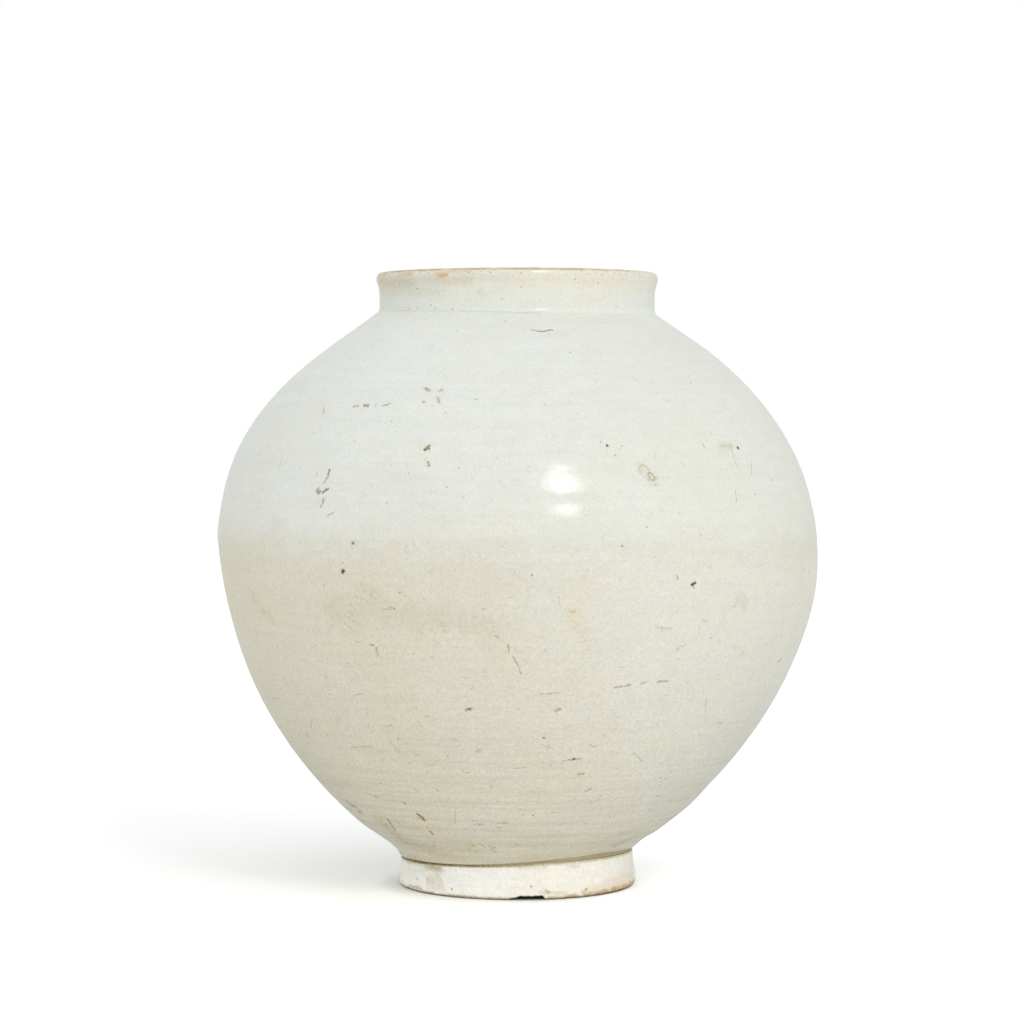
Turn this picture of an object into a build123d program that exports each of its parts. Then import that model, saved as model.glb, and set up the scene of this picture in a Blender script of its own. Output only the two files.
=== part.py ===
from build123d import *

import os
from math import sqrt

# Moon jar: two wheel-thrown porcelain bowls luted rim to rim at the waist, with a
# collar luted on the opening at the top and a turned foot ring luted underneath.
# Millimetres, +Z up. The origin is on the table, at the middle of the foot.

# Whole jar
JAR_HEIGHT = 440.0
WAIST_HEIGHT = 253.0  # where the two bowls meet, just above the widest part
WAIST_RADIUS = 215.5

# Bowls
WALL = 7.5  # square to the surface
FLOOR = 12.0
FLOOR_INSET = 1.0  # of the flat part of the floor from the underside's edge
FOOT_OVERHANG = 0.4  # of the lower bowl's underside past the foot ring
SHOULDER_LEDGE = 1.0  # of the upper bowl's cut edge past the collar
WANDER = 2.0  # how far the hand-thrown wall strays to the side of the axis

# Sections of each bowl from bottom to top: share of the bowl's height, share of the way
# out from its narrow end to the waist, and share of the wander, to the right if positive
LOWER_SECTIONS = (
    (0.0, 0.0, -0.3),
    (0.165, 0.337, -0.45),
    (0.381, 0.653, 0.0),
    (0.641, 0.888, 1.0),
    (1.0, 1.0, 0.0),
)
UPPER_SECTIONS = (
    (0.0, 1.0, 0.0),
    (0.296, 0.907, -0.55),
    (0.61, 0.649, -0.75),
    (0.861, 0.263, -0.1),
    (1.0, 0.0, 0.0),
)

# Collar with a rolled lip
COLLAR_HEIGHT = 28.0
COLLAR_WALL = 6.7  # at the foot of the collar
MOUTH_RADIUS = 92.5
LIP_FLARE = 2.1  # of the lip past the foot of the collar
LIP_THICKNESS = 7.0
LIP_DROP = 5.0  # from the top of the lip to its widest point

# Foot ring
FOOT_HEIGHT = 22.0  # from the table to the lower bowl
FOOT_RADIUS = 85.3
FOOT_TOP_RADIUS = 82.6
FOOT_WIDTH = 13.0  # at the table, bevel included
FOOT_TOP_WIDTH = 12.3
FOOT_BEVEL = 2.8

# Chip out of the foot's bottom edge
CHIP_WIDTH = 26.0
CHIP_DEPTH = 3.2
CHIP_TURN = -86.0  # degrees about the jar's axis

# Luting slip in the three joints
SLIP = 1.2
SLIP_RECESS = 0.6  # wiped back from the surface at the foot and the neck
RIDGE_RADIUS = 4.0  # of the bead that the waist joint leaves on the inside

NECK_HEIGHT = JAR_HEIGHT - COLLAR_HEIGHT
COLLAR_FOOT = NECK_HEIGHT + SLIP
COLLAR_RADIUS = MOUTH_RADIUS + COLLAR_WALL
SHOULDER_RADIUS = COLLAR_RADIUS + SHOULDER_LEDGE
LIP_HEIGHT = JAR_HEIGHT - LIP_DROP
LIP_RADIUS = COLLAR_RADIUS + LIP_FLARE
LIP_INNER_RADIUS = LIP_RADIUS - LIP_THICKNESS
FOOT_TOP = FOOT_HEIGHT - SLIP
FOOT_INNER_RADIUS = FOOT_RADIUS - FOOT_WIDTH
FOOT_INNER_TOP_RADIUS = FOOT_TOP_RADIUS - FOOT_TOP_WIDTH
BOWL_BASE_RADIUS = FOOT_TOP_RADIUS + FOOT_OVERHANG
FLOOR_RADIUS = BOWL_BASE_RADIUS - FLOOR_INSET
LOWER_RIM = WAIST_HEIGHT - SLIP


def outer_stations(sections, low, high, narrow_radius):
    """Height, radius and sideways drift of a bowl's outer wall at each of its sections."""
    stations = []
    for rise, fullness, aside in sections:
        height = low + rise * (high - low)
        radius = narrow_radius + fullness * (WAIST_RADIUS - narrow_radius)
        stations.append((height, radius, aside * WANDER))
    return stations


def inner_stations(outer):
    """The same stations one wall in, with the wall measured square to its slope."""
    inner = []
    for i, (height, radius, drift) in enumerate(outer):
        below = outer[max(i - 1, 0)]
        above = outer[min(i + 1, len(outer) - 1)]
        slope = (above[1] - below[1]) / (above[0] - below[0])
        inner.append((height, radius - WALL * sqrt(1 + slope**2), drift))
    return inner


lower_outside = outer_stations(LOWER_SECTIONS, FOOT_HEIGHT, WAIST_HEIGHT, BOWL_BASE_RADIUS)
upper_outside = outer_stations(UPPER_SECTIONS, WAIST_HEIGHT, NECK_HEIGHT, SHOULDER_RADIUS)
inside = inner_stations(lower_outside + upper_outside[1:])
waist = len(lower_outside) - 1
floor_station = (FOOT_HEIGHT + FLOOR, FLOOR_RADIUS, lower_outside[0][2])
lower_inside = [floor_station] + inside[1 : waist + 1]
upper_inside = inside[waist:]

# Lower bowl as thrown, up to the waist
with BuildPart() as lower_wall:
    for stations, mode in ((lower_outside, Mode.ADD), (lower_inside, Mode.SUBTRACT)):
        for height, radius, drift in stations:
            with BuildSketch(Plane.XY.offset(height)):
                with Locations((drift, 0)):
                    Circle(radius)
        loft(mode=mode)

# Lower bowl with its rim cut back to make room for the waist slip
with BuildPart() as lower_bowl:
    add(lower_wall.part)
    with BuildSketch(Plane.XY.offset(LOWER_RIM)):
        Circle(WAIST_RADIUS + WALL)
    extrude(amount=SLIP, mode=Mode.SUBTRACT)
lower_bowl.part.label = "lower_bowl"

# Upper bowl, thrown upside down, with the mouth cut through its base
with BuildPart() as upper_bowl:
    for stations, mode in ((upper_outside, Mode.ADD), (upper_inside, Mode.SUBTRACT)):
        for height, radius, drift in stations:
            with BuildSketch(Plane.XY.offset(height)):
                with Locations((drift, 0)):
                    Circle(radius)
        loft(mode=mode)
    with BuildSketch(Plane.XY.offset(NECK_HEIGHT)):
        Circle(MOUTH_RADIUS)
    extrude(amount=-2 * WALL, mode=Mode.SUBTRACT)
upper_bowl.part.label = "upper_bowl"

# Bead of slip squeezed out of the waist joint on the inside
with BuildPart() as slip_ridge:
    with BuildSketch(Plane.XZ):
        with Locations((WAIST_RADIUS - WALL, WAIST_HEIGHT - SLIP / 2)):
            Circle(RIDGE_RADIUS)
    revolve(axis=Axis.Z)
    add(lower_wall.part, mode=Mode.SUBTRACT)
    add(upper_bowl.part, mode=Mode.SUBTRACT)

# Waist slip: the flat layer between the two rims, with its bead
with BuildPart() as waist_slip:
    add(lower_wall.part)
    add(lower_bowl.part, mode=Mode.SUBTRACT)
    add(slip_ridge.part)
waist_slip.part.label = "waist_slip"

# Neck slip between the upper bowl's cut edge and the collar
with BuildPart() as neck_slip:
    with BuildSketch(Plane.XY.offset(NECK_HEIGHT)):
        Circle(COLLAR_RADIUS - SLIP_RECESS)
        Circle(MOUTH_RADIUS + SLIP_RECESS, mode=Mode.SUBTRACT)
    extrude(amount=SLIP)
neck_slip.part.label = "neck_slip"

# Mouth collar: an upright neck that eases out into a rolled lip
with BuildPart() as mouth_collar:
    with BuildSketch(Plane.XZ):
        with BuildLine():
            Line((MOUTH_RADIUS, COLLAR_FOOT), (COLLAR_RADIUS, COLLAR_FOOT))
            Spline(
                (COLLAR_RADIUS, COLLAR_FOOT),
                (LIP_RADIUS, LIP_HEIGHT),
                tangents=((0, 1), (0, 1)),
            )
            EllipticalCenterArc(
                ((LIP_RADIUS + LIP_INNER_RADIUS) / 2, LIP_HEIGHT),
                LIP_THICKNESS / 2,
                LIP_DROP,
                start_angle=0,
                arc_size=180,
            )
            Spline(
                (LIP_INNER_RADIUS, LIP_HEIGHT),
                (MOUTH_RADIUS, COLLAR_FOOT),
                tangents=((0, -1), (0, -1)),
            )
        make_face()
    revolve(axis=Axis.Z)
mouth_collar.part.label = "mouth_collar"

# Foot slip between the foot ring and the lower bowl
with BuildPart() as foot_slip:
    with BuildSketch(Plane.XY.offset(FOOT_TOP)):
        Circle(FOOT_TOP_RADIUS - SLIP_RECESS)
        Circle(FOOT_INNER_TOP_RADIUS + SLIP_RECESS, mode=Mode.SUBTRACT)
    extrude(amount=SLIP)
foot_slip.part.label = "foot_slip"

# Foot ring: flared outside, bevelled at the table, with a shallow chip in its front edge
with BuildPart() as foot_ring:
    with BuildSketch(Plane.XZ):
        with BuildLine():
            Polyline(
                (FOOT_INNER_RADIUS, 0),
                (FOOT_RADIUS - FOOT_BEVEL, 0),
                (FOOT_RADIUS, FOOT_BEVEL),
                (FOOT_TOP_RADIUS, FOOT_TOP),
                (FOOT_INNER_TOP_RADIUS, FOOT_TOP),
                close=True,
            )
        make_face()
    revolve(axis=Axis.Z)
    chip_ball = (CHIP_WIDTH**2 / 4 + CHIP_DEPTH**2) / (2 * CHIP_DEPTH)
    chip_offset = (chip_ball - CHIP_DEPTH) / sqrt(2)
    with PolarLocations(FOOT_RADIUS - FOOT_BEVEL / 2 + chip_offset, 1, start_angle=CHIP_TURN):
        with Locations((0, 0, FOOT_BEVEL / 2 - chip_offset)):
            Sphere(chip_ball, mode=Mode.SUBTRACT)
foot_ring.part.label = "foot_ring"

os.makedirs("parts", exist_ok=True)
for piece in (foot_ring, foot_slip, lower_bowl, waist_slip, upper_bowl, neck_slip, mouth_collar):
    export_step(piece.part, f"parts/{piece.part.label}.step")
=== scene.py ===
import math
from functools import partial, partialmethod

import bmesh
import bpy
import numpy as np
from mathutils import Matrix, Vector
from mathutils.bvhtree import BVHTree


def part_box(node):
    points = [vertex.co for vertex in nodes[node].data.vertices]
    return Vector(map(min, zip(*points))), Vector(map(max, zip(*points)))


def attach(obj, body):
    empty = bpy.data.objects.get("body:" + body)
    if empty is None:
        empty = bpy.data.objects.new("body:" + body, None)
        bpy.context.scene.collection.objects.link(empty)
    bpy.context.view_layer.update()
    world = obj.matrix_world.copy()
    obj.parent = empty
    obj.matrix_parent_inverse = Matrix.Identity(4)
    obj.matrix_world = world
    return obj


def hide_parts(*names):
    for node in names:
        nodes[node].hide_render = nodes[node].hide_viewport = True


# Moon jar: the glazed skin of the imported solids, with the traces of throwing, firing and use.
# Metres, +Z up, -Y towards the viewer, in the frame of the solids. Turns about the axis are
# angles from +X towards +Y, so the side that faces the viewer is at -90 degrees. A place
# round the jar is the turn of its middle and its half width, in degrees. Four numbers that end
# in a place are the usual value and how much more it is there; four numbers for what varies
# over the jar are the usual value, how far it varies, and its limits.

MM = 0.001
SEED = 41
rng = np.random.default_rng(SEED)

# Camera
CAMERA_PLACE = (-0.0036, -2.3, 0.342)
CAMERA_PITCH = math.radians(1.838)  # downwards
CAMERA_LENS = 112.15
CAMERA_SENSOR = 36.0
IMAGE_SIZE = 1024  # pixels

# Fineness of the meshes
SEGMENTS = 480
FOOT_SEGMENTS = 900
ROW_STEP = 2.8 * MM
COLLAR_ROWS = 90
FOOT_ROWS = 110

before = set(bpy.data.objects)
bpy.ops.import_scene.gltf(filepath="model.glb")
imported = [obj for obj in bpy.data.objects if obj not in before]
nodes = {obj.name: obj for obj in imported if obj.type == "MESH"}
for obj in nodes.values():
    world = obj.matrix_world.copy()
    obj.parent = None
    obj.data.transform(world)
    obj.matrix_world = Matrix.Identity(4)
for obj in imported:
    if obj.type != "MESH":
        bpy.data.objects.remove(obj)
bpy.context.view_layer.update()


# Solids as they were packed


def tree_of(node):
    """A search tree of one solid's faces."""
    mesh = nodes[node].data
    points = [v.co for v in mesh.vertices]
    return BVHTree.FromPolygons(points, [list(p.vertices) for p in mesh.polygons])


trees = {name: tree_of(name) for name in nodes}

FOOT_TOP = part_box("foot_ring")[1][2]
BOWL_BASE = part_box("lower_bowl")[0][2]
LOWER_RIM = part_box("lower_bowl")[1][2]
UPPER_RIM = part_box("upper_bowl")[0][2]
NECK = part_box("upper_bowl")[1][2]
COLLAR_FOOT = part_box("mouth_collar")[0][2]
JAR_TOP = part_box("mouth_collar")[1][2]
EDGE = 0.4 * MM  # clear of a solid's very edge
MIDWAY = 0.2  # a height in the room of the jar
UP = Vector((0, 0, 1))
RIGHT = Vector((1, 0, 0))
FLOOR_TOP = trees["lower_bowl"].ray_cast(UP * MIDWAY, -UP)[0].z
MOUTH_DEPTH = 2 * MM  # under the neck, where the mouth is measured
MOUTH_RADIUS = trees["upper_bowl"].ray_cast(UP * (NECK - MOUTH_DEPTH), RIGHT)[0].x
THROAT = 14 * MM  # under the neck, where the mouth cuts the inner wall


class Wall:
    """One side of a bowl: its radius and sideways drift as smooth functions of height."""

    RAYS = 24
    LEVELS = 60
    DEGREE = 7

    def __init__(self, node, low, high, inside):
        levels = np.linspace(low, high, self.LEVELS)
        radii = []
        drifts = []
        for level in levels:
            middle = Vector((0, 0, level))
            hits = []
            for turn in np.arange(self.RAYS) * 2 * math.pi / self.RAYS:
                way = Vector((math.cos(turn), math.sin(turn), 0))
                if inside:
                    hit = trees[node].ray_cast(middle, way)[0]
                else:
                    hit = trees[node].ray_cast(middle + way, -way)[0]
                hits.append((hit.x, hit.y))
            hits = np.array(hits)
            drift = (hits[:, 0].max() + hits[:, 0].min()) / 2
            drifts.append(drift)
            radii.append(np.hypot(hits[:, 0] - drift, hits[:, 1]).mean())
        self.radius = np.polynomial.Polynomial.fit(levels, radii, self.DEGREE)
        self.slope = self.radius.deriv()
        self.drift = np.polynomial.Polynomial.fit(levels, drifts, self.DEGREE)


lower_out = Wall("lower_bowl", BOWL_BASE + EDGE, LOWER_RIM - EDGE, inside=False)
upper_out = Wall("upper_bowl", UPPER_RIM + EDGE, NECK - EDGE, inside=False)
lower_in = Wall("lower_bowl", FLOOR_TOP + 2 * EDGE, LOWER_RIM - EDGE, inside=True)
upper_in = Wall("upper_bowl", UPPER_RIM + EDGE, NECK - THROAT, inside=True)


# Unevenness of a hand-built jar

# Lines of the joints in millimetres: how much they are raised, how much more on the right
# and at the back, and how much more on both the right and the left
FOOT_TILT = (1.8, 2.6, -1.7, 0.0)
WAIST_TILT = (-1.0, -0.5, -3.0, -0.7)
NECK_TILT = (-0.85, -0.85, 1.65, 0.0)
GAP = (0.8 * MM, 2.9 * MM, -48, 68)  # that shows between the foot ring and the bowl
FOOT_REACH = 0.09  # height up to which the bowl follows the foot ring
WAIST_REACH = 0.07  # from the waist
INNER_WAIST_REACH = 0.05
NECK_START = 0.38  # height from which the bowl follows the collar
INNER_NECK_START = 0.39


def ease(value, start, end):
    """0 at start, 1 at end, smooth in between."""
    share = np.clip((value - start) / (end - start), 0, 1)
    return share * share * (3 - 2 * share)


def bump_round(turn, middle, half_width):
    """1 at one turn about the axis, easing to 0 half_width away. Degrees."""
    away = (np.degrees(turn) - middle + 180) % 360 - 180
    return 1 - ease(np.abs(away), 0, half_width)


def more_at(turn, usual, more, middle, half_width):
    """A usual value with more of it about one turn round the jar. Degrees."""
    return usual + more * bump_round(turn, middle, half_width)


def tilted(tilt, turn):
    """How far a line round the jar strays from level, in metres."""
    raised, to_right, to_back, to_sides = tilt
    wave = to_right * np.cos(turn) + to_back * np.sin(turn) + to_sides * np.cos(2 * turn)
    return (wave + raised) * MM


waist_shift = partial(tilted, WAIST_TILT)
neck_shift = partial(tilted, NECK_TILT)


def foot_top(turn):
    """Height of the foot ring's upper edge, which isn't level."""
    return FOOT_TOP + tilted(FOOT_TILT, turn)


def foot_gap(turn):
    """Height of the slip that shows between the foot ring and the bowl."""
    return more_at(turn, *GAP)


def height_shift(turn, height):
    """How far a point of the bowls' outer wall moves up with the joints near it."""
    foot = foot_top(turn) + foot_gap(turn) - BOWL_BASE
    foot = foot * (1 - ease(height, BOWL_BASE, FOOT_REACH))
    waist = waist_shift(turn) * (1 - ease(np.abs(height - UPPER_RIM), 0, WAIST_REACH))
    neck = neck_shift(turn) * ease(height, NECK_START, NECK)
    return foot + waist + neck


class Waves:
    """Smooth unevenness around the jar: a sum of waves with random directions."""

    LEAST = 0.5  # share of its height that a wave has at least

    def __init__(self, count, turns, lengths, height):
        self.turns = rng.integers(turns[0], turns[1] + 1, count) * rng.choice((-1, 1), count)
        low, high = np.log(lengths[0]), np.log(lengths[1])
        self.pitch = 2 * math.pi / np.exp(rng.uniform(low, high, count))
        self.start = rng.uniform(0, 2 * math.pi, count)
        self.height = height * rng.uniform(self.LEAST, 1, count) / math.sqrt(count)

    def __call__(self, turn, height=0.0):
        total = np.zeros_like(turn)
        for turns, pitch, start, size in zip(self.turns, self.pitch, self.start, self.height):
            total += size * np.cos(turns * turn + pitch * height + start)
        return total


lumps = Waves(14, (1, 5), (0.07, 0.3), 0.3 * MM)
throwing_rings = Waves(22, (0, 1), (0.009, 0.034), 0.07 * MM)
ring_strength = Waves(8, (1, 3), (0.05, 0.2), 1.0)
ragged = Waves(26, (60, 400), (0.002, 0.012), 1.0)
ragged_coarse = Waves(20, (10, 60), (0.008, 0.04), 1.0)
ragged_fine = Waves(30, (250, 1100), (0.0009, 0.004), 1.0)

RINGS_SHARE = (0.7, 0.5, 0.2, 1.3)
RING_LEVEL = 0.2788  # a deeper throwing ring above the waist
RING_WIDTH = 6.5 * MM
RING_DEPTH = 0.48 * MM
RING_SHARE = (0.4, 0.6, -80, 50)  # of its depth


def varied(waves, turn, height, usual, vary, low, high):
    """A value that varies over the jar within limits."""
    return np.clip(usual + vary * waves(turn, height), low, high)


def throwing(turn, height):
    """Relief that the potter's hands and the kiln leave in a bowl's wall."""
    strength = varied(ring_strength, turn, height, *RINGS_SHARE)
    ring = np.exp(-(((height - RING_LEVEL) / RING_WIDTH) ** 2)) * more_at(turn, *RING_SHARE)
    return lumps(turn, height) + strength * throwing_rings(turn, height) - RING_DEPTH * ring


# Marks on the glaze, and painted shade drawn as marks

# Kind: depth in millimetres, then how far it goes to iron black, brown stain and bare clay
KINDS = {
    "iron": (0.10, 0.95, 0.4, 0.0),
    "speck": (0.05, 0.33, 0.72, 0.0),
    "tan": (0.03, 0.0, 0.52, 0.06),
    "faint": (0.02, 0.0, 0.31, 0.04),
    "olive": (0.04, 0.04, 0.95, 0.06),
    "scratch": (0.08, 0.0, 0.27, 0.05),
    "pinhole": (0.22, 0.4, 0.8, 0.0),
    "brown": (0.03, 0.2, 1.0, 0.22),
    "rust": (0.04, 0.05, 0.6, 0.28),
    "soil": (0.0, 0.0, 0.55, 0.0),
    "smear": (0.0, 0.0, 0.34, 0.0),
    "stain": (0.0, 0.0, 0.16, 0.02),
    # halo: a faint stain for the halos round marks, also used as painted shade
    "halo": (0.0, 0.0, 0.055, 0.0),
    # haze_and_painted_shade: a faint stain, used both for cloudy glaze and as painted shade
    "haze_and_painted_shade": (0.0, 0.0, 0.065, 0.0),
    # painted_shade: the brown stain used as painted shade, with no mark of its own
    "painted_shade": (0.0, 0.0, 0.15, 0.0),
    "warm": (0.0, 0.0, 0.07, 0.13),
    "cloud": (0.0, 0.0, 0.022, 0.0),
    "bare": (0.12, 0.0, 0.12, 0.75),
    "flake": (0.15, 0.0, 0.09, 0.28),
    "blush": (0.0, 0.0, 0.0, 0.18),
}

# Each kind's marks, placed in pixels as the camera sees them: half width in millimetres,
# then across and down of every point of the stroke
UPPER_MARKS = {
    "tan": (
        (1.4, 425.5, 388.5, 429, 390.5), (1.1, 439.5, 391, 442, 390), (1, 423, 402, 425, 401.5),
        (1.2, 438, 398, 439, 402), (0.8, 353.5, 406.5, 358, 406), (0.8, 383.5, 405.5, 388.5, 404.5),
        (0.45, 323.7, 408, 323.5, 413.5), (0.5, 406.5, 546.4), (0.9, 327.5, 477, 324, 483),
        (1.1, 323.5, 499.5, 322.5, 504), (0.7, 322, 505, 320.5, 507), (0.8, 531, 329.6, 537, 331),
        (0.5, 474.5, 399.5, 477, 399.3), (0.5, 702.5, 443.5, 704.5, 447.5),
    ),
    "speck": (
        (0.6, 441, 391), (0.7, 375.5, 405.5), (0.5, 377, 403.5), (0.55, 391.4, 421.2),
        (0.4, 396, 431.7), (0.4, 408.6, 473.2), (0.35, 371.4, 485), (0.6, 426.5, 466),
        (0.6, 323, 492, 326, 490), (0.6, 570.5, 352.3), (0.5, 456.4, 331.2), (0.4, 497, 458.3),
        (0.6, 545, 405), (0.7, 601, 442), (0.6, 622, 446), (0.6, 615, 455), (0.5, 647, 527),
        (0.4, 679.4, 512.8), (0.4, 662.5, 512), (0.4, 774.5, 450.4),
        (0.4, 690, 383.3, 691.5, 383.4), (0.8, 772, 480), (0.7, 701, 535),
    ),
    "olive": (
        (1.3, 364.5, 405.5, 368, 405.5), (1.3, 429, 446, 425, 450), (0.9, 429.5, 446, 429, 449),
        (0.7, 428, 462, 429, 466), (1, 329.5, 470, 328, 475), (1.8, 317.5, 490.5, 319, 492.5),
        (1.1, 322.5, 492.5, 328, 489), (0.8, 537, 331, 543, 331.6, 550.5, 329.8, 552.5, 330.4),
    ),
    "faint": (
        (0.6, 389, 403.5, 392, 403.5), (0.5, 279.5, 467, 281, 461), (0.5, 317.5, 472, 317.3, 476),
        (0.6, 337, 449), (0.8, 361.5, 527), (0.8, 331.5, 536.5), (0.8, 327, 516, 334, 512),
        (0.6, 513, 401), (0.7, 456.5, 413.7), (0.6, 471.5, 444.3), (0.6, 463, 497.4),
        (0.6, 492, 500.5), (0.5, 628, 355.4), (0.7, 639, 468, 641, 465, 645, 466, 650, 470),
        (0.6, 639, 469, 642, 474), (0.4, 709, 430.5, 712.5, 435), (0.4, 751.5, 462, 751.3, 475),
        (0.6, 667.5, 477.5), (0.7, 749.8, 529.4),
    ),
    "halo": ((3, 275, 525, 281, 523.5), (2.2, 548, 335, 566, 334), (4.4, 721, 446, 732, 446)),
    "iron": ((0.5, 425, 449.5), (0.8, 607, 445.5), (1.1, 738, 448)),
    "rust": (
        (0.7, 648, 474, 649.5, 472.5, 652, 474), (0.6, 652, 474, 655, 478.5, 653.5, 480.5),
        (0.6, 653.5, 480.5, 650, 479, 648, 474),
    ),
    "warm": ((2.6, 641, 469, 647, 474), (6, 643, 470, 653, 478)),
    "stain": ((2.4, 648, 480, 655, 478), (3, 722, 446, 731, 446)),
    "scratch": (
        (0.5, 729.5, 444, 732, 452, 734.5, 460, 739.5, 470.5), (0.5, 735.4, 491, 736.6, 502),
    ),
    "cloud": ((14, 370, 532, 440, 526), (12, 385, 470, 430, 500)),
}

LOWER_MARKS = {
    "pinhole": ((1.4, 353, 543),),
    # The first stroke is a grey cloud in the glaze; the other three are painted shade on the flanks
    # just above the foot
    "haze_and_painted_shade": (
        (14, 335, 610, 400, 612, 490, 624), (8, 380, 818, 415, 828),
        (9, 398, 842, 430, 846, 470, 847), (6, 600, 840, 630, 832),
    ),
    "cloud": ((13, 380, 585, 570, 580), (10, 385, 738, 455, 743)),
    # Painted shade on the lower bowl's flanks just above the foot, left and right
    "painted_shade": ((9, 384, 824, 402, 841, 428, 848), (5, 616, 845, 634, 837)),
    # The second and third strokes are halos round a pinhole and an iron spot; the first and the
    # last three are painted shade on the underside just above the foot
    "halo": (
        (4, 404, 847, 446, 850), (4.5, 353, 543), (3.5, 343, 571), (1.5, 415, 842, 520, 846),
        (1.2, 440, 849, 560, 848), (1.5, 540, 843, 620, 838),
    ),
    "iron": (
        (1.4, 343, 571), (1, 692, 585, 694.5, 583), (0.8, 469.5, 708.8), (0.5, 550.5, 693.5),
        (0.5, 479.8, 824.6), (0.55, 398.4, 738.5), (0.5, 380.5, 783.4), (1, 573.5, 759.3),
    ),
    "scratch": (
        (0.5, 354, 596, 361, 598, 368, 601.5), (0.4, 356, 603.5, 361, 605.5),
        (0.5, 348, 611, 354, 615), (0.4, 348, 617, 354, 621.5), (0.4, 345, 623.5, 351, 628),
        (0.6, 272, 698, 278, 698), (0.5, 295, 692, 299, 695), (0.5, 355, 695, 362, 694),
        (0.5, 385, 727, 392, 725), (0.5, 424, 717, 429, 716),
        (0.6, 351, 747, 362, 746.5, 373.5, 747), (0.6, 634, 753, 638, 757, 642, 761),
        (0.4, 384, 800, 394, 801, 402, 802.3), (0.4, 366, 793, 373, 795.5),
        (0.45, 456, 806, 455.5, 814, 455, 822), (0.4, 417, 721, 422, 726),
    ),
    "faint": (
        (0.5, 354, 641, 359, 642.5), (1, 376, 648, 378, 655), (0.5, 312, 720, 311, 727.5),
        (0.6, 320.4, 750), (0.6, 320, 759.5), (0.5, 341.5, 785.5, 342.5, 788),
        (0.4, 340, 771.5, 343, 774), (0.4, 383, 609.5, 392, 609), (0.9, 325.6, 676.2),
        (0.6, 656, 627.5, 671, 628.5), (0.5, 662.4, 627, 662.2, 631),
        (0.5, 706.4, 699.5, 705.4, 711.5), (0.8, 657, 724), (0.6, 630.7, 656.4),
        (0.6, 541, 694, 551, 693.5), (0.5, 553, 693.3, 561, 692.8), (0.5, 516.5, 709, 520, 708.3),
        (0.5, 513, 768.5, 519, 768, 526, 767.5), (0.5, 478, 798, 482.5, 801),
        (0.5, 519, 810, 522, 809.7), (0.6, 527.8, 811),
        (0.45, 462.5, 769, 464, 772, 467, 773, 470, 771.5), (0.6, 562, 761.3, 568, 760),
        (0.7, 476, 824, 484, 824), (0.7, 498, 823, 506, 823),
    ),
    "rust": (
        (0.7, 370, 644.5, 373, 645.3), (0.7, 376.5, 647.5, 376.3, 650), (0.5, 313.3, 592.6),
        (0.5, 294.4, 599), (0.5, 278, 647.2), (0.7, 414, 653.8), (0.8, 545.5, 650.5),
        (1.2, 465.5, 710, 471.5, 708.5), (0.6, 432.3, 657), (0.6, 437.4, 693.4),
        (0.6, 329.8, 694.5), (0.7, 615, 687.5, 622, 686.5), (0.8, 624, 686.5, 630, 685),
        (0.6, 641, 684, 643.5, 683), (0.8, 658, 682, 662, 681), (0.6, 663, 681.5, 668, 681),
        (1.2, 556, 710.8, 559.3, 709.4), (0.75, 568, 760, 581, 758.7),
        (0.9, 578, 774.5, 583.5, 773.5),
    ),
    "tan": (
        (0.45, 306.5, 731, 308.5, 738), (0.6, 387, 654), (0.5, 381, 656.7), (0.6, 348.3, 663.3),
        (0.6, 569.5, 611.5, 575, 612), (0.7, 777.5, 662, 781, 659.5),
        (0.5, 718.5, 723.2, 722.5, 722.8), (0.8, 508, 645, 509, 652),
        (0.55, 513, 657, 518, 665, 521, 674), (0.5, 645, 682, 647, 682.5),
        (0.4, 544.5, 746.8, 549.5, 744.8), (0.4, 546, 749, 551, 747),
        (0.4, 590, 744.5, 593, 747, 596, 746), (0.5, 552, 812.5, 555, 812.3),
        (0.7, 472.5, 821, 474.5, 820.8), (0.4, 496.5, 827.5, 502, 827.2),
        (0.45, 489, 845.5, 492, 848.5, 495.5, 852.5), (0.45, 608.5, 818.5, 610.5, 816.5),
        (0.5, 436.5, 827.3, 439.5, 828.5), (0.5, 468, 844, 474, 845.5), (0.5, 478, 843.5, 484, 846),
        (0.6, 493, 846.5, 495.5, 848), (0.5, 468, 848.5, 471, 850), (0.5, 474, 851, 477, 852),
    ),
    "warm": (
        (5, 362, 587, 378, 592), (4, 251.5, 593, 256, 602), (4, 263, 610, 271, 618), (3, 577, 626),
        (4, 739, 597, 745, 603),
    ),
    "stain": (
        (2.2, 370, 593, 374, 598), (0.5, 714.3, 620.7, 723, 625), (0.5, 673.6, 651.4, 681.4, 647),
        (2.2, 431, 832), (2.6, 392, 825),
    ),
    "speck": (
        (0.5, 324.4, 584.6), (0.5, 351, 604.8), (0.5, 394.4, 608.6), (0.6, 399.8, 592.6),
        (0.7, 622, 546), (0.7, 678, 578.5), (0.7, 532, 575), (0.8, 495, 636), (0.6, 576, 702),
        (0.6, 601, 796), (0.7, 660, 778), (0.7, 533, 815.5),
    ),
    "blush": ((7, 572, 616, 582, 628),),
    "brown": (
        (0.7, 543, 737.8, 545, 737.8), (0.6, 503.5, 823.2, 506.5, 822.9), (0.5, 481.5, 845),
        (0.5, 614.4, 816.7), (0.5, 585, 791.7, 588, 790.4, 591.5, 788.2),
        (0.7, 350, 805, 355, 806, 361, 812), (0.9, 387.5, 819, 391, 824), (0.7, 392, 826, 395, 830),
        (0.7, 403.5, 802.7, 405.5, 803.5), (0.7, 429, 830.5, 431.5, 832.3, 433.5, 834.7),
        (0.5, 427, 826.7, 428.5, 827.5), (0.4, 417.5, 827), (0.4, 420.5, 826),
        (0.7, 375, 796.2, 377, 796.8), (1.5, 418, 814.5, 422, 817, 424, 820), (0.6, 485, 847.5),
        (0.6, 490.5, 850),
    ),
    "flake": ((1.6, 353, 808, 357, 811),),
    "smear": ((2.2, 348, 802, 352, 806), (1.6, 358, 812, 362, 812), (2.4, 421, 818)),
}

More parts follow.
